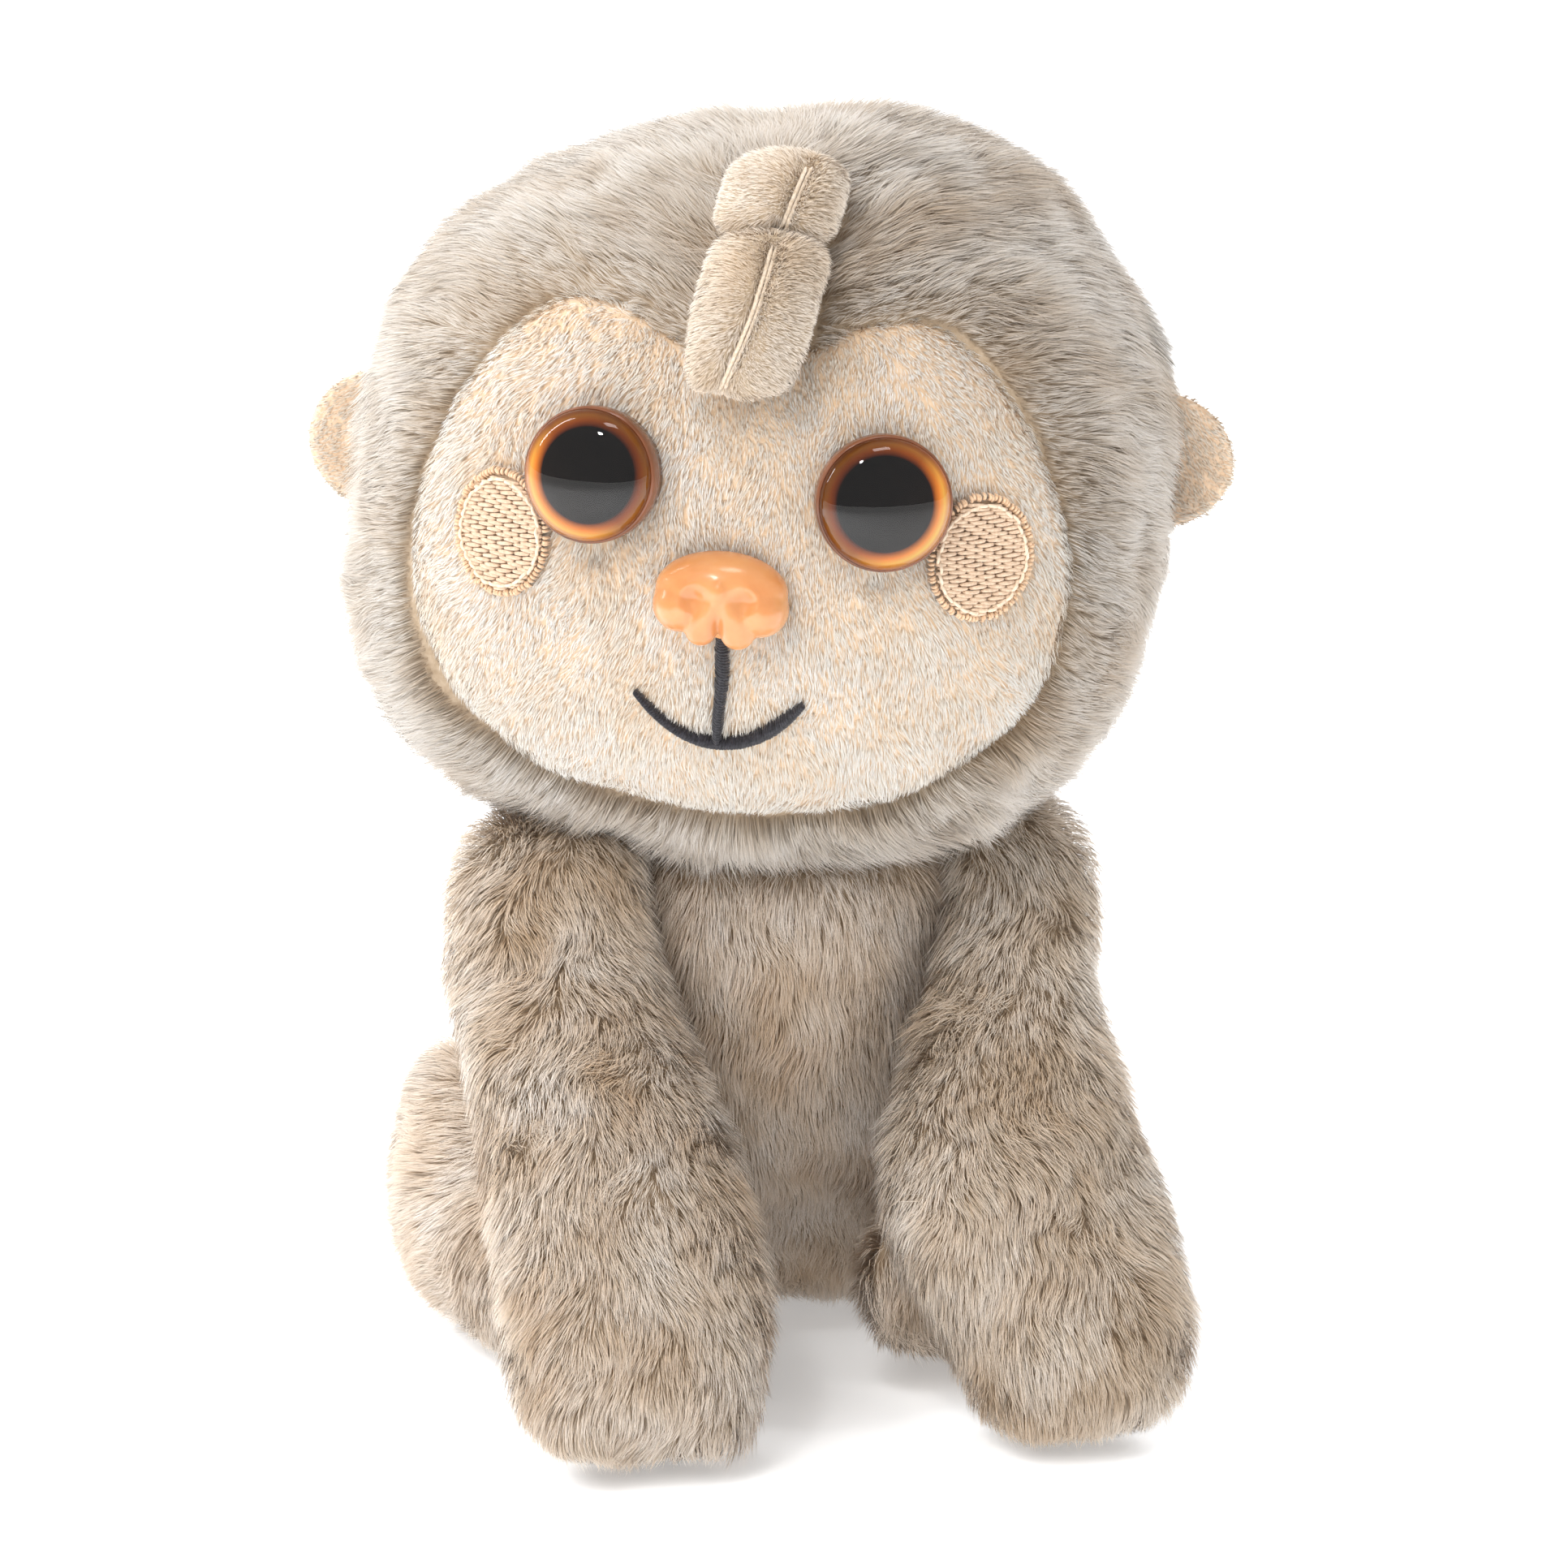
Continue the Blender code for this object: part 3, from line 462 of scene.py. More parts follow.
def nose_finish():
    finish = cloudy_finish("soft_vinyl", (204, 134, 80), (212, 150, 96), 0.26, 0.0, **VINYL)
    inputs = finish.node_tree.nodes["Principled BSDF"].inputs
    inputs["Subsurface Weight"].default_value = 0.18
    inputs["Subsurface Radius"].default_value = (1.0, 0.45, 0.2)
    inputs["Subsurface Scale"].default_value = 1.2 * MM
    inputs["Coat Weight"].default_value = 0.5
    inputs["Coat Roughness"].default_value = 0.16
    return finish


def lens_finish():
    """Clear plastic, faintly and unevenly amber."""
    finish = cloudy_finish("clear_lens", (255, 240, 224), (255, 247, 238), 0.0, 0.0, (150.0, 1.0))
    inputs = finish.node_tree.nodes["Principled BSDF"].inputs
    inputs["Transmission Weight"].default_value = 1.0
    inputs["IOR"].default_value = 1.49
    return finish


def iris_finish(side):
    """A black pupil in an amber ring that darkens to its outer edge, by the distance from the middle. The
    ring is painted brighter towards one side as a painted glow, and it glows by emission though it is no
    lamp.
    """
    finish, tree, shader = new_finish(f"iris_paint_{side}", 0.6, 0.08)
    place = tree.nodes.new("ShaderNodeTexCoord")
    flat = add_node(tree, "ShaderNodeVectorMath")
    flat.operation = "MULTIPLY"
    flat.inputs[1].default_value = (1.0 / EYE_RADIUS, 1.0 / EYE_RADIUS, 0.0)
    tree.links.new(place.outputs["Object"], flat.inputs[0])
    reach = add_node(tree, "ShaderNodeVectorMath")
    reach.operation = "LENGTH"
    tree.links.new(flat.outputs["Vector"], reach.inputs[0])
    stops = (
        (0.0, srgb(12, 8, 8)),
        (0.66, srgb(14, 9, 8)),
        (0.69, srgb(140, 82, 40)),
        (0.75, srgb(222, 146, 66)),
        (0.82, srgb(255, 208, 110)),
        (0.89, srgb(204, 122, 60)),
        (0.945, srgb(112, 66, 44)),
        (1.0, srgb(88, 54, 40)),
    )
    # Painted glow: the iris is painted lighter towards one side.
    lean = add_node(tree, "ShaderNodeVectorMath")
    lean.operation = "DOT_PRODUCT"
    lean.inputs[1].default_value = PAINTED_GLOW_WAYS[side]
    tree.links.new(flat.outputs["Vector"], lean.inputs[0])
    height = add_node(tree, "ShaderNodeMapRange", From_Min=-0.75, From_Max=0.85)
    tree.links.new(lean.outputs["Value"], height.inputs["Value"])
    sides = (
        (0.0, srgb(120, 92, 72)),
        (0.50, srgb(166, 130, 100)),
        (0.78, srgb(255, 228, 184)),
        (1.0, srgb(255, 255, 255)),
    )
    glow = ramp(tree, height.outputs["Result"], sides)
    ring = multiply(tree, ramp(tree, reach.outputs["Value"], stops), glow)
    tree.links.new(ring, shader.inputs["Base Color"])
    # The iris emits its own colour: a painted glow, though it is no lamp.
    tree.links.new(ring, shader.inputs["Emission Color"])
    shader.inputs["Emission Strength"].default_value = 0.28
    return finish


# ---- Fur ----


def surface(obj):
    """The places, normals and triangles of a piece's mesh."""
    data = obj.data
    data.calc_loop_triangles()
    triangles = np.empty(len(data.loop_triangles) * 3, np.int32)
    data.loop_triangles.foreach_get("vertices", triangles)
    return places_of(data), normals_of(data), triangles.reshape(-1, 3)


def blade_ways(roots, ups, lengths, flows, stands, fur, rng):
    """The middle lines of the blades, from root to tip, drawn together into tufts. Stands is how much
    more than the rest of the fur each blade stands up."""
    steps = np.linspace(0.0, 1.0, fur.steps + 1)
    rise = np.clip(fur.rise * rng.uniform(0.75, 1.25, len(roots)) + stands, 0.05, 0.96)
    run = np.sqrt(1.0 - rise**2)
    up_part = rise[:, None] * (1.6 * steps - 0.6 * steps**2)
    run_part = run[:, None] * (0.45 * steps + 0.55 * steps**2)
    offsets = ups[:, None] * up_part[..., None] + flows[:, None] * run_part[..., None]
    ways = roots[:, None] + offsets * lengths[:, None, None]
    tufts = max(int(len(roots) / (fur.density * (fur.clump / MM) ** 2)), 1)
    tufts = min(tufts, len(roots))
    tree = KDTree(tufts)
    for i, root in enumerate(roots[:tufts]):
        tree.insert(root, i)
    tree.balance()
    leaders = np.fromiter((tree.find(root)[1] for root in roots), int, len(roots))
    lean = fur.pull * rng.uniform(0.5, 1.3, len(roots))[:, None] * steps[None] ** 1.4
    return ways + (ways[leaders] - ways) * lean[..., None]


def blade_mesh(name, ways, ups, width, tints, rng):
    """Thin tapered ribbons along the ways, with their map of tint and way from root to tip."""
    count, points = ways.shape[:2]
    steps = np.linspace(0.0, 1.0, points)
    tangents = unit(np.gradient(ways, axis=1))
    turn = rng.uniform(-1.0, 1.0, count)[:, None, None]
    sides = np.cross(tangents, ups[:, None])
    sides = unit(unit(sides) * np.cos(turn) + ups[:, None] * np.sin(turn))
    half = 0.5 * width * rng.uniform(0.7, 1.2, count)[:, None] * (1.0 - steps[None, :-1] ** 2 * 0.75)
    left = ways[:, :-1] - sides[:, :-1] * half[..., None]
    right = ways[:, :-1] + sides[:, :-1] * half[..., None]
    pairs = np.stack((left, right), axis=2).reshape(count, -1, 3)
    places = np.concatenate((pairs, ways[:, -1:]), axis=1)
    each = places.shape[1]
    places[..., 2] = np.maximum(places[..., 2], BLADE_FLOOR)
    corners, sizes, heights = [], [], []
    for i in range(points - 2):
        corners += [2 * i, 2 * i + 1, 2 * i + 3, 2 * i + 2]
        heights += [steps[i], steps[i], steps[i + 1], steps[i + 1]]
        sizes.append(4)
    corners += [each - 3, each - 2, each - 1]
    heights += [steps[-2], steps[-2], steps[-1]]
    sizes.append(3)
    all_corners = (np.array(corners)[None] + np.arange(count)[:, None] * each).ravel()
    data = mesh_of(name, places.reshape(-1, 3), all_corners, np.tile(sizes, count))
    layer = data.uv_layers.new(name="OFBake")
    cells = np.stack((np.repeat(tints, len(corners)), np.tile(heights, count)), axis=1)
    layer.uv.foreach_set("vector", np.ascontiguousarray(0.01 + 0.98 * cells, np.float32).ravel())
    shade = unit(ups + rng.normal(scale=0.16, size=(count, 3)))
    data.normals_split_custom_set_from_vertices(np.repeat(shade, each, axis=0).astype(np.float32))
    return data


def grow(name, body, finish, skin, fur, comb, seed, inside=None, longer=None, upright=None):
    """Grows fur or pile on a skin. comb(roots) says which way it lies. inside is a value for each
    vertex of the skin, and nothing grows where it is below nought; longer multiplies the length, and
    upright says how much more it stands up."""
    rng = np.random.default_rng(seed)
    places, normals, triangles = surface(skin)
    corners = places[triangles]
    crosses = np.cross(corners[:, 1] - corners[:, 0], corners[:, 2] - corners[:, 0])
    areas = 0.5 * np.linalg.norm(crosses, axis=1)
    share = 1.0
    count = int(areas.sum() / MM**2 * fur.density * share)
    picked = np.minimum(np.searchsorted(np.cumsum(areas), rng.random(count) * areas.sum()), len(areas) - 1)
    first, second = rng.random((2, count))
    over = first + second > 1.0
    first[over] = 1.0 - first[over]
    second[over] = 1.0 - second[over]
    weights = np.stack((1.0 - first - second, first, second), axis=1)
    held = triangles[picked]

    def at_root(values):
        return (values[held] * weights.reshape(weights.shape + (1,) * (values.ndim - 1))).sum(axis=1)

    roots = at_root(places)
    ups = unit(at_root(normals))
    lengths = fur.length * rng.uniform(0.65, 1.15, count) * (1.0 + 0.15 * ripples(roots, 11.0 * MM, seed + 1))
    if longer is not None:
        lengths = lengths * at_root(longer)
    stands = np.zeros(count) if upright is None else at_root(upright)
    if inside is not None:
        kept = at_root(inside) > 0.0
        roots, ups, lengths, stands = roots[kept], ups[kept], lengths[kept], stands[kept]
    swirl = np.stack([ripples(roots, 9.0 * MM, seed + 2 + i) for i in range(3)], axis=1)
    stray = rng.normal(scale=0.16, size=roots.shape)
    flows = unit(comb(roots)) + fur.swirl * swirl + stray
    flows = unit(flows - (flows * ups).sum(axis=1, keepdims=True) * ups)
    tints = 0.5 + 0.20 * ripples(roots, 13.0 * MM, seed + 6) + 0.10 * ripples(roots, 4.0 * MM, seed + 7)
    tints = np.clip(tints + rng.normal(scale=0.09, size=len(roots)), 0.0, 1.0)
    ways = blade_ways(roots, ups, lengths, flows, stands, fur, rng)
    width = fur.width / math.sqrt(share)
    made = []
    pieces = math.ceil(len(roots) / BLADES_IN_PIECE)
    for k, part in enumerate(np.array_split(np.arange(len(roots)), pieces)):
        title = f"{name}_{k + 1}" if pieces > 1 else name
        data = blade_mesh(title, ways[part], ups[part], width, tints[part], rng)
        made.append(add_object(title, data, body, finish))
    return made


# ---- Head ----

HEAD_ROTATION = Matrix.Rotation(HEAD_TIP, 4, "Y") @ Matrix.Rotation(HEAD_TURN, 4, "Z")
TURN = np.array(HEAD_ROTATION.to_3x3())
MIDDLE = np.array((Vector(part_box("head_stuffing")[0]) + Vector(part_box("head_stuffing")[1])) / 2.0)


def to_world(points):
    return points @ TURN.T + MIDDLE


def to_head(points):
    return (points - MIDDLE) @ TURN


def head_radius(directions, inset):
    total = (np.abs(directions / (HEAD_HALF - inset)) ** HEAD_POWER).sum(axis=1)
    return total ** (-1.0 / HEAD_POWER)


def face_normal(points):
    slopes = np.sign(points) * np.abs(points / HEAD_HALF) ** (HEAD_POWER - 1.0) / HEAD_HALF
    return unit(slopes)


def face_point(x, z, lift=0.0):
    """Points of the head's front surface, in the head's frame, lifted off it."""
    x, z, lift = np.broadcast_arrays(np.asarray(x, float), np.asarray(z, float), np.asarray(lift, float))
    left_over = 1.0 - np.abs(x / HEAD_HALF[0]) ** HEAD_POWER - np.abs(z / HEAD_HALF[2]) ** HEAD_POWER
    y = -HEAD_HALF[1] * np.maximum(left_over, 1e-6) ** (1.0 / HEAD_POWER)
    points = np.stack((x, y, z), axis=-1)
    return points + face_normal(points) * lift[..., None]


def seam_distance(points):
    """How far points of the head lie outside the face panel. It is negative on the face."""
    face = node_tree("face_panel")
    cover = node_tree("head_cover")
    plain = np.array([face.find_nearest(p)[3] - cover.find_nearest(p)[3] for p in points])
    return plain + LAP * near(to_head(points)[:, (0, 2)], LAP_PLACE, LAP_REACH)


def flow_of(side, back, up):
    """Directions from their parts. Each part is a value or one for every direction."""
    return np.stack(np.broadcast_arrays(side, back, up), axis=1)


def head_comb(roots):
    """Away from a parting along the middle of the head, down and back, and away from the face."""
    local = to_head(roots)
    flow = flow_of(np.clip(local[:, 0] / (14.0 * MM), -1.0, 1.0), 0.45, -0.55)
    away = local - np.array((FACE_MIDDLE[0], 0.0, FACE_MIDDLE[1]))
    away[:, 1] = 0.02
    near_face = np.clip((local[:, 1] + 0.006) / -0.022, 0.0, 1.0)[:, None]
    flow = unit(flow) + unit(away) * near_face * 0.5
    return flow @ TURN.T


def beneath_forelock(skin):
    """Which vertices of a skin the forelock lies over, and how far each vertex is from it."""
    lobes = node_tree("forelock_upper", "forelock_lower")
    places, normals = places_of(skin.data), normals_of(skin.data)
    under = np.array([lobes.ray_cast(p, n, LOCK_ABOVE)[0] is not None for p, n in zip(places, normals)])
    gap = np.array([lobes.find_nearest(p)[3] for p in places])
    return under, gap


def build_head(finishes):
    bm = bmesh.new()
    bmesh.ops.create_icosphere(bm, subdivisions=6, radius=1.0)
    data = mesh_from("head_skin", bm)
    directions = unit(places_of(data))
    local = directions * head_radius(directions, HEAD_SKIN_INSET)[:, None]
    local += directions * (0.5 * MM * ripples(local, 26.0 * MM, 40))[:, None]
    for middle, reach, amount in HEAD_PADS:
        local += directions * (amount * near(directions, unit(np.array(middle)), reach))[:, None]
    set_places(data, to_world(local))
    outside = seam_distance(to_world(local))
    sunk = directions * (-1.4 * MM * np.clip(-outside / (1.0 * MM), 0.0, 1.0))[:, None]
    set_places(data, to_world(local + sunk))
    data.shade_smooth()
    skin = add_object("head_skin", data, "head", finishes["head_cloth"])
    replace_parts(skin, "head_cover", "head_stuffing")
    under, gap = beneath_forelock(skin)
    chin = np.clip((-local[:, 2] - 14.0 * MM) / (14.0 * MM), 0.0, 1.0)
    from_face = np.clip(0.55 + outside / (9.0 * MM), 0.5, 1.0) + 0.30 * chin
    grow("head_fur", "head", finishes["head_fur"], skin, HEAD_FUR, head_comb, 11,
         inside=np.where(under, -1.0 * MM, np.minimum(outside + 0.3 * MM, gap - LOCK_CLEAR)),
         longer=from_face * np.clip(gap / LOCK_SHORTENS, 0.4, 1.0),
         upright=0.30 * np.exp(-np.clip(outside, 0.0, 1.0) / (1.8 * MM)))


def face_reach(turns):
    """The distance from the middle of the face to its seam, in each direction of the front plane."""
    directions = np.stack((np.cos(turns), np.sin(turns)), axis=1)
    low = np.full(len(turns), 12.0 * MM)
    high = np.full(len(turns), 43.0 * MM)
    for _ in range(12):
        reach = 0.5 * (low + high)
        flat = directions * reach[:, None] + np.array(FACE_MIDDLE)
        outside = seam_distance(to_world(face_point(flat[:, 0], flat[:, 1]))) > 0.0
        high = np.where(outside, reach, high)
        low = np.where(outside, low, reach)
    return 0.5 * (low + high)


def face_comb(roots):
    """Pile of the face lies down and a little outward."""
    return flow_of(to_head(roots)[:, 0] * 12.0, 0.0, -1.0) @ TURN.T


def build_face(finishes):
    rings, spokes = 46, 180
    turns = np.linspace(0.0, 2.0 * math.pi, spokes, endpoint=False)
    reach = face_reach(turns)
    shares = np.linspace(0.0, 1.0, rings + 1)[1:] ** 0.85
    x = FACE_MIDDLE[0] + np.outer(shares, reach * np.cos(turns))
    z = FACE_MIDDLE[1] + np.outer(shares, reach * np.sin(turns))
    to_seam = np.outer(1.0 - shares, reach)
    lift = -FACE_INSET - 1.2 * MM * np.exp(-to_seam / (0.8 * MM))
    flat = np.stack((x, np.zeros_like(x), z), axis=-1)
    lift += 0.25 * MM * ripples(flat.reshape(-1, 3), 17.0 * MM, 61).reshape(x.shape)
    for eye_x, eye_z in EYES.values():
        lift -= STEM_PULL * near(flat, (eye_x, 0.0, eye_z), STEM_REACH)
        lift -= PUCKER * near(flat, (eye_x, 0.0, eye_z - PUCKER_DROP), PUCKER_REACH)
    grid = face_point(x, z, lift).reshape(-1, 3)
    middle = face_point(FACE_MIDDLE[0], FACE_MIDDLE[1], -FACE_INSET)[None]
    points = np.concatenate((middle, grid))
    fan = np.array([(0, 1 + j, 1 + (j + 1) % spokes) for j in range(spokes)])
    quads = grid_quads(rings, spokes, start=1)[:, [0, 3, 2, 1]]
    corners = np.concatenate((fan.ravel(), quads.ravel()))
    data = mesh_of("face_fabric", to_world(points), corners, [3] * len(fan) + [4] * len(quads))
    if (normals_of(data)[0] * TURN[:, 1]).sum() > 0.0:
        data.flip_normals()
    fabric = add_object("face_fabric", data, "head", finishes["face_cloth"])
    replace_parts(fabric, "face_panel")
    local = to_head(places_of(data))[:, (0, 2)]
    free = np.full(len(local), 1.0 * MM)
    for centre, half in ((EYES["left"], EYE_CLEAR), (EYES["right"], EYE_CLEAR), (NOSE, NOSE_CLEAR)):
        free = np.minimum(free, np.linalg.norm(local - centre, axis=1) - half)
    for centre in CHEEKS.values():
        oval = np.linalg.norm((local - centre) / CHEEK_HALF, axis=1)
        free = np.minimum(free, (oval - 0.97) * CHEEK_HALF[0])
    grow("face_pile", "head", finishes["face_pile"], fabric, FACE_PILE, face_comb, 21,
         inside=free)


# ---- Round pieces, threads and the features of the face ----


def turned_mesh(name, profile, steps=72):
    """A closed form turned round its own Z axis from a profile of (radius, height), top to bottom."""
    bm = bmesh.new()
    rings = []
    for radius, height in profile:
        if radius < 1e-7:
            rings.append([bm.verts.new((0.0, 0.0, height))])
            continue
        angles = (2.0 * math.pi * i / steps for i in range(steps))
        rings.append([bm.verts.new((radius * math.cos(a), radius * math.sin(a), height)) for a in angles])
    for upper, lower in zip(rings, rings[1:]):
        for i in range(steps):
            j = (i + 1) % steps
            if len(upper) == 1 and len(lower) == 1:
                continue
            if len(upper) == 1:
                bm.faces.new((upper[0], lower[i], lower[j]))
            elif len(lower) == 1:
                bm.faces.new((upper[j], upper[i], lower[0]))
            else:
                bm.faces.new((upper[i], lower[i], lower[j], upper[j]))
    bmesh.ops.recalc_face_normals(bm, faces=bm.faces)
    data = mesh_from(name, bm)
    data.shade_smooth()
    return data


def place_on_face(obj, x, z, lift):
    """Sets a piece on the face with its own +Z out of the surface, and keeps it on its body."""
    point = face_point(x, z)
    out = Vector(to_world(face_normal(point)[None])[0] - MIDDLE)
    where = Vector(to_world(point[None])[0]) + out * lift
    body = obj["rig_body"]
    obj.parent = None
    across = Vector(TURN[:, 0])
    up = out.cross(across).normalized()
    across = up.cross(out)
    basis = Matrix((across, up, out)).transposed()
    obj.matrix_world = Matrix.Translation(where) @ basis.to_4x4()
    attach(obj, body)


def build_eyes(finishes):
    wall = 0.9 * MM
    plate = EYE_RADIUS - 0.45 * MM
    outer = EYE_RADIUS + 0.3 * MM
    bore = EYE_RADIUS + 0.02 * MM
    dome = [(EYE_RADIUS * math.sin(a), wall + (EYE_RISE - wall) * math.cos(a))
            for a in np.radians(np.linspace(0.0, 90.0, 25))]
    dome += [(EYE_RADIUS - 0.1 * MM, 0.12 * MM), (EYE_RADIUS - 0.3 * MM, 0.0), (0.0, 0.0)]
    disc = [(0.0, 0.32 * MM), (0.5 * plate, 0.30 * MM), (plate, 0.18 * MM)]
    disc += [(plate, 0.10 * MM), (0.0, 0.10 * MM)]
    ring = [
        (bore, 1.0 * MM),
        (outer - 0.12 * MM, 0.95 * MM),
        (outer, 0.6 * MM),
        (outer, -1.0 * MM),
        (outer - 0.4 * MM, -COLLAR_DEPTH),
        (EYE_RADIUS - 0.9 * MM, -COLLAR_DEPTH),
        (EYE_RADIUS - 0.4 * MM, -0.1 * MM),
        (bore, -0.1 * MM),
        (bore, 1.0 * MM),
    ]
    for side, (x, z) in EYES.items():
        for part, profile, slot, finish in (
            ("dome", dome, "eye_lens", "lens"),
            ("iris", disc, "eye_back", f"iris_{side}"),
            ("rim", ring, "eye_back", "eye_rim"),
        ):
            mesh = turned_mesh(f"eye_{part}", profile)
            made = add_object(f"eye_{part}_{side}", mesh, "head", finishes[finish])
            place_on_face(made, x, z, EYE_BASE)
            if part == "dome":
                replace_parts(made, f"eye_lens_{side}")


def tube_mesh(name, paths, radius, outs, sides=7):
    """One mesh of round threads. Each path is an array of points and outs gives its outward direction."""
    points, corners, sizes = [], [], []
    base = 0
    angles = 2.0 * math.pi * np.arange(sides) / sides
    for path, out in zip(paths, outs):
        tangents = unit(np.gradient(path, axis=0))
        across = unit(np.cross(tangents, out))
        up = np.cross(across, tangents)
        count = len(path)
        ends = np.minimum(np.arange(count), np.arange(count)[::-1])
        thick = radius * np.where(ends == 0, 0.35, 1.0)
        ring = across[:, None] * np.cos(angles)[None, :, None] + up[:, None] * np.sin(angles)[None, :, None]
        points.append((path[:, None] + ring * thick[:, None, None]).reshape(-1, 3))
        quads = grid_quads(count, sides, start=base)
        corners += quads.ravel().tolist()
        corners += [base + j for j in reversed(range(sides))]
        corners += [base + (count - 1) * sides + j for j in range(sides)]
        sizes += [4] * len(quads) + [sides, sides]
        base += count * sides
    return mesh_of(name, np.concatenate(points), np.array(corners), np.array(sizes))


def face_threads(name, flat_paths, radius, lifts, finish):
    """Threads on the face. Each flat path is an array of (x, z), and lifts says how high it lies."""
    paths, outs = [], []
    for flat, lift in zip(flat_paths, lifts):
        paths.append(to_world(face_point(flat[:, 0], flat[:, 1], lift)))
        outs.append(face_normal(face_point(flat[:, 0], flat[:, 1])) @ TURN.T)
    return add_object(name, tube_mesh(name, paths, radius, outs), "head", finish)


def satin_stitches(way, widths, spacing, slant, rng):
    """Stitches across a way, as wide as widths says along it. Way is an array of (x, z)."""
    spans = np.linalg.norm(np.diff(way, axis=0), axis=1)
    along = np.concatenate(([0.0], np.cumsum(spans)))

    def place(at):
        return np.array([np.interp(at, along, way[:, i]) for i in (0, 1)])

    stitches = []
    for at in np.arange(0.0, along[-1], spacing):
        centre = place(at)
        tangent = unit(place(at + spacing) - place(at - spacing))
        angle = slant + rng.normal(scale=0.12)
        turn = np.array(((math.cos(angle), -math.sin(angle)), (math.sin(angle), math.cos(angle))))
        width = np.interp(at / along[-1], np.linspace(0.0, 1.0, len(widths)), widths)
        length = width * rng.uniform(0.88, 1.10)
        stitches.append(centre + np.linspace(-0.5, 0.5, 7)[:, None] * length * (turn @ tangent))
    return stitches


def arched(stitches, low, high):
    """The height of each stitch: its ends go down into the fabric."""
    return [low + (high - low) * np.sin(np.linspace(0.0, math.pi, len(s))) for s in stitches]


def embroider(name, way, widths, slant, rng, finishes):
    """A satin line. Widths are in millimetres along it, and slant is in degrees."""
    stitches = satin_stitches(way, np.array(widths) * MM, STITCH_STEP, math.radians(slant), rng)
    lifts = arched(stitches, STITCH_FOOT, STITCH_TOP)
    line = face_threads(f"{name}_thread", stitches, THREAD_RADIUS, lifts, finishes["mouth"])
    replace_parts(line, name)


def build_mouth(finishes):
    rng = np.random.default_rng(31)
    drop = np.stack((np.full(24, NOSE[0]), np.linspace(MOUTH_TOP, MOUTH_BOTTOM, 24)), axis=1)
    drop[:, 0] += 0.25 * MM * np.sin(np.linspace(0.0, 5.0, 24))
    embroider("mouth_line", drop, (1.3, 1.9, 1.8, 1.6, 1.4, 0.9), 62.0, rng, finishes)
    t = np.linspace(-1.0, 1.0, 60)
    end_x, end_z = MOUTH_END
    smile = np.stack((NOSE[0] + end_x * t, MOUTH_BOTTOM + (end_z - MOUTH_BOTTOM) * np.abs(t) ** 2.1), axis=1)
    embroider("mouth_smile", smile, (0.2, 0.8, 0.9, 1.1, 1.5, 1.35, 1.7, 1.9, 1.5, 0.5), 66.0, rng, finishes)


def build_cheeks(finishes):
    """Each cheek has stitches over its edge, rows of short stitches inside and a ring of thread on top."""
    rng = np.random.default_rng(37)
    half_x, half_z = CHEEK_HALF
    for side, (x, z) in CHEEKS.items():

        def on_oval(share, turn):
            return np.stack((x + half_x * share * np.cos(turn), z + half_z * share * np.sin(turn)), axis=1)

        def stitch(part, paths, radius, lifts):
            finish = finishes[f"cheek_{part}"]
            return face_threads(f"cheek_{part}_{side}", paths, radius, lifts, finish)

        border = []
        for turn in np.linspace(0.0, 2.0 * math.pi, 84, endpoint=False):
            slip = rng.normal(scale=0.012)
            border.append(on_oval(np.linspace(0.92 + slip, 1.04 + slip, 6), turn + rng.normal(scale=0.015)))
        lift = STITCH_FOOT + 0.95 * MM * np.sin(np.linspace(0.0, math.pi, 6)) ** 0.6
        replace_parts(stitch("edge", border, EDGE_RADIUS, [lift] * len(border)), f"cheek_patch_{side}")
        rows = []
        for n, height in enumerate(np.arange(-half_z * 0.90, half_z * 0.90, CHEEK_ROW)):
            width = half_x * 0.90 * math.sqrt(max(1.0 - (height / (half_z * 0.92)) ** 2, 0.0))
            shift = rng.uniform(0.0, 0.35) * MM - (n % 2) * 0.5 * CHEEK_STITCH
            for start in np.arange(-width + shift, width, CHEEK_STITCH):
                first = max(start, -width)
                last = min(start + CHEEK_STITCH + 0.1 * MM, width)
                if last - first >= 0.5 * MM:
                    across = np.linspace(first, last, 7)
                    wave = 0.10 * MM * np.sin(across / (0.9 * MM) + n)
                    rows.append(np.stack((x + across, z + height + wave), axis=1))
        lift = -0.55 * MM + 0.65 * MM * np.sin(np.linspace(0.12, math.pi - 0.12, 7)) ** 0.5
        stitch("fill", rows, THREAD_RADIUS, [lift] * len(rows))
        ring = []
        for turn in np.linspace(0.0, 2.0 * math.pi, 60)[::2]:
            ring.append(on_oval(0.85 + rng.normal(scale=0.016), np.linspace(turn - 0.02, turn + 0.26, 6)))
        stitch("ring", ring, EDGE_RADIUS, arched(ring, -0.2 * MM, 0.42 * MM))


def ball(bm, centre, half, tilt=0.0):
    """An ellipsoid in millimetres: x across, y up and z out of the face."""
    size = Matrix.Diagonal((*half, 1.0))
    turn = Matrix.Rotation(math.radians(tilt), 4, "Z")
    matrix = Matrix.Translation(centre) @ turn @ size
    bmesh.ops.create_uvsphere(bm, u_segments=32, v_segments=20, radius=1.0, matrix=matrix)


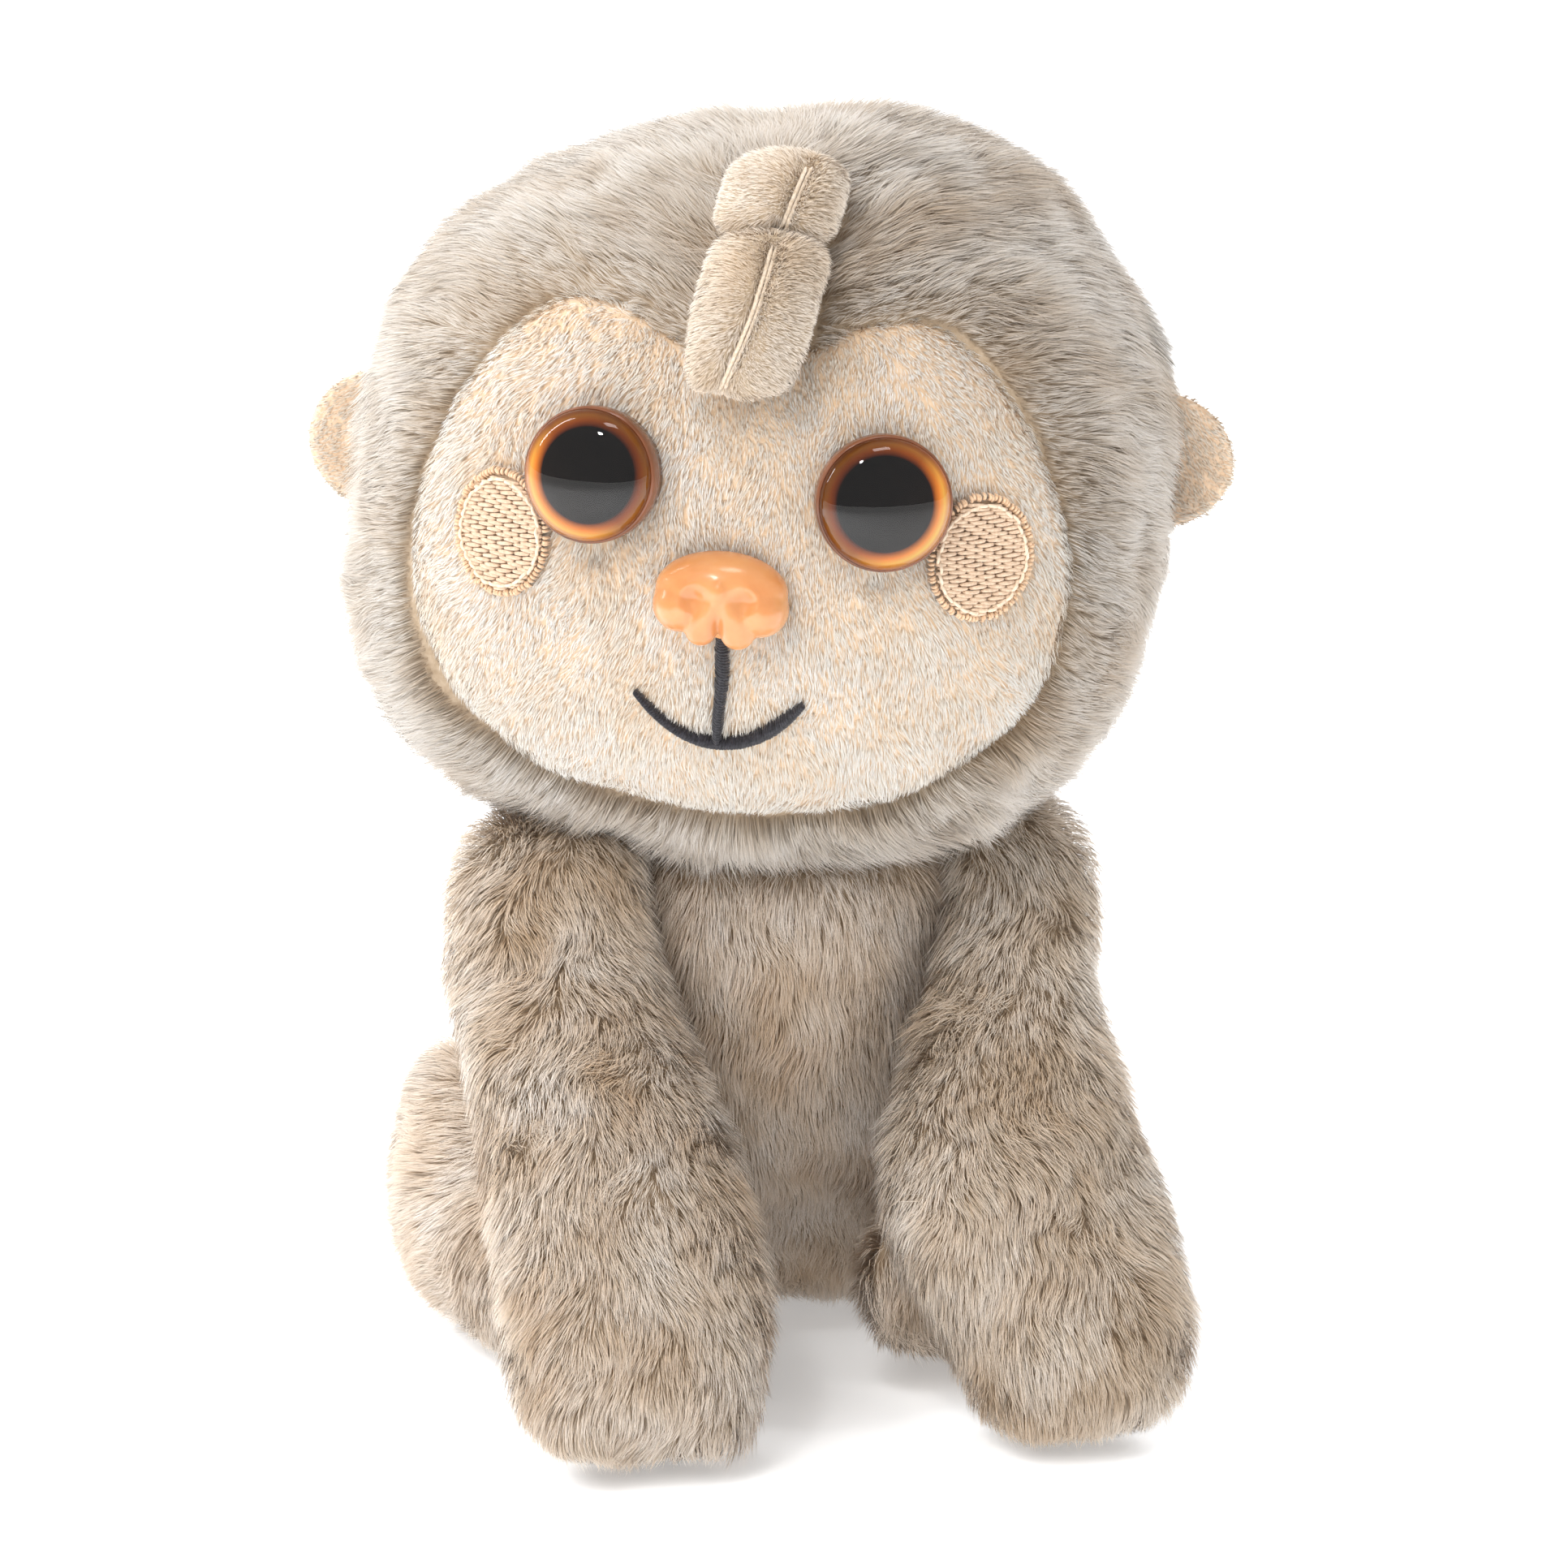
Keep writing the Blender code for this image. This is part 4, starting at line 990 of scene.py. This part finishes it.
def build_nose(finishes):
    """A domed nose with two wings, two nostrils and two drops that widen down from the bridge."""
    bm = bmesh.new()
    ball(bm, (0.0, 1.3, 0.0), (7.8, 4.7, 4.6))
    for sign in (-1.0, 1.0):
        ball(bm, (sign * 4.6, -0.5, 0.2), (3.4, 3.3, 4.2))
        for share in np.linspace(0.0, 1.0, 9):
            across = sign * (0.75 + 1.40 * share) + 0.15
            size = 0.75 + (1.15 if sign < 0.0 else 1.35) * share
            ball(bm, (across, 1.6 - 4.5 * share, 3.75 - 1.4 * share**2), (size, size, 0.9 + 1.0 * share))
    ball(bm, (0.0, 1.9, 3.6), (1.3, 1.8, 1.35))
    for vert in bm.verts:
        vert.co *= MM
    nose = add_object("vinyl_nose", mesh_from("vinyl_nose", bm), "head", finishes["nose"])
    remeshed(nose, NOSE_CELL, 7)
    places = places_of(nose.data)
    for sign in (-1.0, 1.0):
        spot = np.array((sign * 2.75, 1.2)) * MM
        reach = np.linalg.norm((places[:, :2] - spot) / (np.array((1.35, 1.25)) * MM), axis=1)
        front = np.clip(places[:, 2] / (1.5 * MM), 0.0, 1.0)
        outer = np.clip((places[:, 0] * sign - 2.6 * MM) / (1.2 * MM), 0.0, 1.0)
        rim = 0.26 * MM * outer * np.exp(-(((reach - 1.35) / 0.40) ** 2))
        places[:, 2] += front * (rim - 1.0 * MM * np.exp(-(reach**2)))
    places[:, 2] = np.maximum(places[:, 2], -0.8 * MM)
    set_places(nose.data, places)
    made_finer(nose)
    wear(nose.data, finishes["nose"])
    place_on_face(nose, *NOSE, NOSE_LIFT)
    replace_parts(nose, "nose")


# ---- Soft covers that are stuffed: arms, legs and body ----


def stuffed_skin(name, body, nodes, hidden, finish, inset, swell, moves, folds=()):
    """A closed skin round CAD nodes, pulled in by inset and swollen by its stuffing. Each move is a place,
    its reach and the shift of the skin there."""
    bm = bmesh.new()
    for node in nodes:
        bm.from_mesh(node_mesh(node))
    hull = bmesh.ops.convex_hull(bm, input=bm.verts)
    inner = hull["geom_interior"] + hull["geom_unused"]
    loose = [item for item in inner if isinstance(item, bmesh.types.BMVert)]
    bmesh.ops.delete(bm, geom=loose, context="VERTS")
    skin_faces = {item for item in hull["geom"] if isinstance(item, bmesh.types.BMFace)}
    extra = [face for face in bm.faces if face not in skin_faces]
    bmesh.ops.delete(bm, geom=extra, context="FACES")
    skin = add_object(name, mesh_from(name, bm), body, finish)
    remeshed(skin, SKIN_CELL, 4)
    set_places(skin.data, places_of(skin.data) - normals_of(skin.data) * inset)
    inflate(skin, swell)
    made_finer(skin)
    places = places_of(skin.data)
    for middle, reach, shift in moves:
        places += near(places, middle, reach)[:, None] * np.array(shift)
    places[:, 2] = np.maximum(places[:, 2], SKIN_FLOOR)
    set_places(skin.data, places)
    for way in folds:
        crease(skin, way)
    wear(skin.data, finish)
    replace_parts(skin, *hidden)
    return skin


def inflate(skin, cap):
    """Swells the cover with cloth under pressure. No point moves further than the cap."""
    scene = bpy.context.scene
    start = places_of(skin.data)
    cloth = skin.modifiers.new("Stuffing", "CLOTH")
    cloth.settings.use_pressure = True
    cloth.settings.uniform_pressure_force = 4.0
    cloth.settings.effector_weights.gravity = 0.0
    for number in range(1, 21):
        scene.frame_set(number)
    graph = bpy.context.evaluated_depsgraph_get()
    moved = places_of(skin.evaluated_get(graph).data) - start
    skin.modifiers.remove(cloth)
    scene.frame_set(1)
    reach = np.linalg.norm(moved, axis=1, keepdims=True)
    set_places(skin.data, start + moved * np.minimum(1.0, cap / np.maximum(reach, 1e-9)))


def crease(skin, way):
    """Pulls the skin in along a way of points, as a sewn or folded line does."""
    places = places_of(skin.data)
    normals = normals_of(skin.data)
    nearest = np.full(len(places), 1e9)
    for first, last in zip(way, way[1:]):
        first, last = np.array(first), np.array(last)
        span = last - first
        share = np.clip(((places - first) @ span) / (span @ span), 0.0, 1.0)
        nearest = np.minimum(nearest, np.linalg.norm(places - first - share[:, None] * span, axis=1))
    depth = CREASE_DEPTH * np.exp(-((nearest / CREASE_WIDTH) ** 2))
    set_places(skin.data, places - normals * depth[:, None])


def even_comb(*way):
    """Fur that lies one way all over."""
    return lambda roots: np.tile(way, (len(roots), 1))


def leg_comb(sign):
    """Fur of a hind leg lies outward and back over the haunch, and forward on the foot."""

    def comb(roots):
        forward = np.clip((0.012 - roots[:, 1]) / 0.02, 0.0, 1.0)
        return flow_of(0.7 * sign * (1.0 - forward), 0.6 - 1.6 * forward, -0.5)

    return comb


def near_floor(skin):
    """Fur is pressed short where the toy stands on it."""
    return np.clip(0.45 + places_of(skin.data)[:, 2] / (14.0 * MM), 0.45, 1.0)


def build_body(finishes):
    nodes = ("body_front", "body_back")
    cloth, fur = finishes["body_cloth"], finishes["body_fur"]
    skin = stuffed_skin("body_skin", "torso", nodes, nodes + ("body_stuffing", "pellet_bag"), cloth,
                        BODY_INSET, BODY_SWELL, BODY_MOVES, CREASES["body"])
    grow("body_fur", "torso", fur, skin, TORSO_FUR, even_comb(0.0, -0.1, -1.0), 51)
    for side, sign in SIDES:
        limbs = (
            ("arm", ARM_MOVES, finishes[f"arm_fur_{side}"], even_comb(0.12 * sign, -0.25, -1.0), 53),
            ("leg", LEG_MOVES, fur, leg_comb(sign), 57),
        )
        for limb, moves, finish, comb, seed in limbs:
            body = f"{limb}_{side}"
            nodes = (f"{limb}_cover_{side}",)
            hidden = nodes + (f"{limb}_stuffing_{side}",)
            skin = stuffed_skin(f"{limb}_skin_{side}", body, nodes, hidden, cloth, LIMB_INSET, LIMB_SWELL,
                                moves[side], CREASES.get(body, ()))
            grow(f"{limb}_fur_{side}", body, finish, skin, BODY_FUR, comb, seed + int(sign),
                 longer=near_floor(skin))


# ---- Ears and forelock ----


def build_ears(finishes):
    """Cupped ears: each is a half oval leaf whose outer edge bends forward."""
    for side, sign in SIDES:
        nodes = (f"ear_inner_{side}", f"ear_outer_{side}")
        low = np.minimum(*[np.array(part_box(n)[0]) for n in nodes])
        high = np.maximum(*[np.array(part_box(n)[1]) for n in nodes])
        middle = to_head(((low + high) / 2.0)[None])[0]
        middle[2] += EAR_DROP[side]
        root = sign * (HEAD_HALF[0] - 1.0 * MM)
        reach, tall = EAR_HALF[side]
        rings, spokes = 12, 48
        points, corners = [], []
        for layer in (-1.0, 1.0):
            for i in range(rings + 1):
                share = i / rings
                swell = math.sqrt(max(1.0 - share**3.0, 0.0))
                for j in range(spokes):
                    angle = math.pi * (j / (spokes - 1) - 0.5)
                    x = share * reach * math.cos(angle)
                    z = share * tall * math.sin(angle)
                    cup = -EAR_CUP * share**2 + 0.6 * MM
                    y = middle[1] + layer * EAR_THICK * 0.5 * swell + cup
                    points.append((root + sign * x, y, middle[2] + z))
        for start, way in ((0, 1), ((rings + 1) * spokes, -1)):
            corners.append(grid_quads(rings + 1, spokes, start, closed=False)[:, ::way])
        corners = np.concatenate(corners)
        data = mesh_of("ear", to_world(np.array(points)), corners.ravel(), [4] * len(corners))
        bm = bmesh.new()
        bm.from_mesh(data)
        bmesh.ops.remove_doubles(bm, verts=bm.verts, dist=0.01 * MM)
        bmesh.ops.holes_fill(bm, edges=bm.edges)
        bmesh.ops.recalc_face_normals(bm, faces=bm.faces)
        bm.to_mesh(data)
        bm.free()
        data.shade_smooth()
        ear = add_object(f"ear_leaf_{side}", data, f"ear_{side}", finishes["ear_cloth"])
        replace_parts(ear, *nodes)
        comb = even_comb(*(TURN @ np.array((sign, 0.0, -0.3))))
        grow(f"ear_pile_{side}", f"ear_{side}", finishes["ear_pile"], ear, EAR_PILE, comb,
             71 + int(sign))


def seam_x(part, z, wander=SEAM_WANDER):
    """Where the seam of a lobe runs, at heights in the head's frame."""
    lean, foot = LOBE_SEAMS[part]
    return lean * (z - foot) + wander * np.sin((z - foot) / SEAM_WAVE)


def lobe_seam(tree, part, heights, off):
    """Points down the front of a lobe, beside its seam, at heights in the head's frame."""
    points, outs = [], []
    for z in heights:
        start = Vector(to_world(np.array(((seam_x(part, z) + off, -80.0 * MM, z),)))[0])
        hit, normal = tree.ray_cast(start, Vector(TURN[:, 1]))[:2]
        if hit:
            points.append(np.array(hit))
            outs.append(np.array(normal))
    return np.array(points), np.array(outs)


def tie_axis():
    """The middle of the fold between the lobes, and the way from the upper lobe to the lower one."""
    upper, tie, lower = (sum(np.array(corner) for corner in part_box(f"forelock_{part}")) / 2.0
                         for part in ("upper", "tie", "lower"))
    return tie, unit(lower - upper)


def gathered(places):
    """The lobes swell towards the thread between them and hide it."""
    middle, axis = tie_axis()
    along = (places - middle) @ axis
    close = np.exp(-((along / GATHER_REACH) ** 2))
    across = TURN[:, 0] - axis * (TURN[:, 0] @ axis)
    side = (places - middle) @ unit(across)
    spread = (GATHER_SPREAD * close * side)[:, None] * unit(across)
    return places + spread - (np.sign(along) * GATHER_SLIDE * close)[:, None] * axis


def build_forelock(finishes):
    """Two padded lobes in short fluffy pile, with the two raw edges of a seam down the front of each."""
    for k, part in enumerate(("upper", "lower")):
        node = f"forelock_{part}"
        cloth = finishes["lock_cloth"]
        lobe = add_object(f"forelock_{part}_lobe", node_mesh(node).copy(), "forelock", cloth)
        remeshed(lobe, LOCK_CELL, 4)
        set_places(lobe.data, gathered(places_of(lobe.data)))
        local = to_head(places_of(lobe.data))
        off = local[:, 0] - seam_x(part, local[:, 2])
        front = np.clip(-(normals_of(lobe.data) @ TURN)[:, 1] * 2.0, 0.0, 1.0)
        pillow = PILLOW * np.exp(-(((np.abs(off) - PILLOW_PLACE) / PILLOW_REACH) ** 2))
        shift = (pillow - DENT * np.exp(-((off / DENT_REACH) ** 2))) * front - LOCK_INSET
        set_places(lobe.data, places_of(lobe.data) + normals_of(lobe.data) * shift[:, None])
        wear(lobe.data, cloth)
        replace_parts(lobe, node)
        tree = BVHTree.FromObject(lobe, bpy.context.evaluated_depsgraph_get())
        low, high = local[:, 2].min(), local[:, 2].max()
        heights = np.linspace(low + 1.0 * MM, high - 1.6 * MM, 26)
        paths, outs = [], []
        for side, rise in SEAM_EDGES:
            points, normals = lobe_seam(tree, part, heights, side * SEAM_HALF_GAP)
            paths.append(points + normals * rise)
            outs.append(normals)
        seam = tube_mesh(f"forelock_{part}_seam", paths, 0.25 * MM, outs)
        add_object(f"forelock_{part}_seam", seam, "forelock", finishes["lock_edge"])

        def comb(roots, part=part):
            local = to_head(roots)
            side = np.clip((local[:, 0] - seam_x(part, local[:, 2], wander=0.0)) / (1.5 * MM), -1.0, 1.0)
            return flow_of(0.9 * side, 0.2, -0.55) @ TURN.T

        grow(f"forelock_{part}_pile", "forelock", finishes["lock_pile"], lobe, LOCK_PILE, comb,
             81 + k)


def build_tie(finishes):
    """The thread that gathers the forelock, wound tight in the fold between the lobes."""
    middle, axis = tie_axis()
    across = unit(np.cross(axis, TURN[:, 1]))
    up = np.cross(axis, across)
    turns = np.linspace(0.0, 2.0 * math.pi * TIE_TURNS, 40 * TIE_TURNS)
    ring = across * np.cos(turns)[:, None] + up * np.sin(turns)[:, None]
    slide = np.linspace(-TIE_HALF_WIDTH, TIE_HALF_WIDTH, len(turns))[:, None]
    path = middle + TIE_RADIUS * ring + axis * slide
    thread = tube_mesh("forelock_thread", [path], TIE_THREAD, [ring])
    tie = add_object("forelock_thread", thread, "forelock", finishes["sewing"])
    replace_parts(tie, "forelock_tie")


# ---- Stage, lights and camera ----


def area_light(name, azimuth, elevation, distance, size, power, colour, in_gloss, tall=None):
    """A soft light that looks at the toy from an azimuth and elevation in degrees."""
    a, e = math.radians(azimuth), math.radians(elevation)
    direction = Vector((math.sin(a) * math.cos(e), -math.cos(a) * math.cos(e), math.sin(e)))
    light = bpy.data.lights.new(name, "AREA")
    light.shape = "RECTANGLE"
    light.size = size
    light.size_y = tall or size
    light.energy = power
    light.color = colour
    obj = bpy.data.objects.new(name, light)
    bpy.context.scene.collection.objects.link(obj)
    obj.location = Vector((0.0, 0.0, 0.08)) + direction * distance
    obj.rotation_mode = "QUATERNION"
    obj.rotation_quaternion = direction.to_track_quat("Z", "Y")
    obj.visible_glossy = in_gloss


def build_stage():
    scene = bpy.context.scene
    bm = bmesh.new()
    bmesh.ops.create_grid(bm, x_segments=2, y_segments=2, size=6.0)
    data = mesh_from("floor", bm)
    floor = bpy.data.objects.new("floor", data)
    scene.collection.objects.link(floor)
    finish, tree, shader = new_finish("pale_floor", 0.9, 0.1)
    shader.inputs["Base Color"].default_value = (0.95, 0.95, 0.95, 1.0)
    shader.inputs["Emission Color"].default_value = (1.0, 1.0, 1.0, 1.0)
    place = tree.nodes.new("ShaderNodeTexCoord")
    reach = add_node(tree, "ShaderNodeVectorMath")
    reach.operation = "LENGTH"
    tree.links.new(place.outputs["Object"], reach.inputs[0])
    glow = add_node(tree, "ShaderNodeMapRange", From_Min=0.035, From_Max=0.26, To_Min=0.32, To_Max=0.80)
    tree.links.new(reach.outputs["Value"], glow.inputs["Value"])
    tree.links.new(glow.outputs["Result"], shader.inputs["Emission Strength"])
    data.materials.append(finish)

    world = bpy.data.worlds.new("studio")
    scene.world = world
    world.use_nodes = True
    world.node_tree.nodes["Background"].inputs["Color"].default_value = (0.93, 0.96, 1.0, 1.0)
    world.node_tree.nodes["Background"].inputs["Strength"].default_value = 0.45

    area_light("key", -42.0, 42.0, 0.9, 0.60, 5.8, (1.0, 0.99, 0.98), False)
    area_light("fill", 50.0, 25.0, 1.0, 0.7, 1.4, (1.0, 0.98, 0.96), False)
    area_light("rim_left", -125.0, 35.0, 0.8, 0.45, 4.8, (0.94, 0.97, 1.0), False)
    area_light("rim_right", 125.0, 35.0, 0.8, 0.45, 4.3, (0.94, 0.97, 1.0), False)
    area_light("catchlight", -30.0, 50.0, 0.7, 0.05, 0.5, (1.0, 1.0, 1.0), True)
    area_light("strip", -108.0, 40.0, 0.7, 0.045, 0.9, (1.0, 1.0, 1.0), True, tall=0.50)
    area_light("overhead", 10.0, 74.0, 0.8, 0.24, 0.6, (1.0, 0.95, 0.92), True, tall=0.12)

    camera_data = bpy.data.cameras.new("camera")
    camera_data.lens = CAMERA_LENS
    camera_data.sensor_width = CAMERA_SENSOR
    camera = bpy.data.objects.new("camera", camera_data)
    scene.collection.objects.link(camera)
    azimuth, elevation = CAMERA_AZIMUTH, CAMERA_ELEVATION
    back = Vector((math.sin(azimuth) * math.cos(elevation), -math.cos(azimuth) * math.cos(elevation),
                   math.sin(elevation)))
    camera.location = Vector(CAMERA_TARGET) + back * CAMERA_DISTANCE
    camera.rotation_mode = "QUATERNION"
    camera.rotation_quaternion = back.to_track_quat("Z", "Y")
    scene.camera = camera
    scene.view_settings.view_transform = "Standard"


# The colours of each kind of fur, from 0 to 255: root, middle, tip, and the tints of dull and plain blades.
# The root colours are partly the fibres' own and partly painted shade deep in the pile.
FURS = {
    "head_fur": ((170, 149, 124), (197, 186, 172), (224, 222, 220), (222, 206, 188), (243, 237, 230)),
    "body_fur": ((172, 150, 126), (220, 206, 191), (249, 245, 241), (220, 200, 176), (243, 234, 223)),
    "arm_fur_left": ((166, 144, 118), (213, 198, 180), (243, 238, 232), (220, 200, 176), (243, 234, 223)),
    "arm_fur_right": ((166, 143, 116), (215, 200, 182), (247, 242, 237), (220, 198, 172), (245, 236, 225)),
    "face_pile": ((232, 208, 181), (228, 222, 213), (224, 226, 227), (246, 234, 218), (252, 248, 242)),
    "ear_pile": ((224, 203, 179), (231, 222, 209), (235, 233, 229), (248, 236, 220), (252, 247, 240)),
    "lock_pile": ((196, 172, 142), (222, 207, 189), (244, 238, 231), (232, 220, 205), (246, 241, 234)),
}
# The kind, the two colours, the roughness and the sheen of the other finishes. The backing cloths under the
# head and body fur are darker than its blades: partly the cloth's own colour and partly painted shade in the
# gaps between blades.
CLOUDS = {
    "head_cloth": (CLOTH, (160, 138, 112), (186, 166, 142), 0.9, 0.3),
    "body_cloth": (CLOTH, (140, 118, 92), (166, 146, 122), 0.9, 0.3),
    "face_cloth": (CLOTH, (224, 193, 158), (232, 208, 180), 0.9, 0.3),
    "ear_cloth": (CLOTH, (234, 202, 168), (244, 218, 190), 0.9, 0.3),
    "lock_cloth": (CLOTH, (186, 164, 136), (204, 186, 162), 0.9, 0.3),
    "label_tape": (TAPE, (196, 195, 188), (214, 213, 207), 0.9, 0.3),
    "lock_edge": (THREAD, (206, 186, 160), (226, 210, 190), 0.8, 0.4),
    "mouth": (THREAD, (22, 20, 24), (48, 46, 52), 0.55, 0.2),
    "cheek_edge": (THREAD, (206, 168, 132), (224, 192, 158), 0.4, 0.3),
    "cheek_fill": (THREAD, (200, 170, 142), (218, 193, 166), 0.32, 0.3),
    "cheek_ring": (THREAD, (220, 196, 168), (232, 212, 188), 0.36, 0.3),
    "sewing": (THREAD, (150, 132, 112), (186, 168, 148), 0.6, 0.2),
    "eye_rim": (PLASTIC, (98, 60, 40), (132, 82, 56), 0.18, 0.0),
    "dark_plastic": (PLASTIC, (16, 12, 12), (26, 20, 18), 0.35, 0.0),
    "pale_plastic": (PLASTIC, (214, 214, 208), (232, 232, 226), 0.45, 0.0),
    "stem_vinyl": (PLASTIC, (226, 160, 98), (240, 176, 112), 0.4, 0.0),
}


def make_finishes():
    made = {key: fur_finish(f"{key}_blades", *colours) for key, colours in FURS.items()}
    made |= {key: cloudy_finish(key, *look, **kind) for key, (kind, *look) in CLOUDS.items()}
    made |= {f"iris_{side}": iris_finish(side) for side, _ in SIDES}
    made |= {"lens": lens_finish(), "nose": nose_finish()}
    return made


def refinish(finishes, key, *nodes):
    """Gives CAD nodes that stay in view a finish."""
    for name in nodes:
        wear(node_mesh(name), finishes[key])
        node_mesh(name).shade_smooth()


def main():
    finishes = make_finishes()
    build_stage()
    build_head(finishes)
    build_face(finishes)
    build_eyes(finishes)
    build_nose(finishes)
    build_mouth(finishes)
    build_cheeks(finishes)
    build_body(finishes)
    build_ears(finishes)
    build_forelock(finishes)
    build_tie(finishes)
    refinish(finishes, "dark_plastic", "eye_stem_left", "eye_stem_right")
    refinish(finishes, "pale_plastic", "eye_washer_left", "eye_washer_right", "nose_washer")
    refinish(finishes, "stem_vinyl", "nose_stem")
    refinish(finishes, "sewing", "neck_thread")
    refinish(finishes, "label_tape", "care_label")


main()
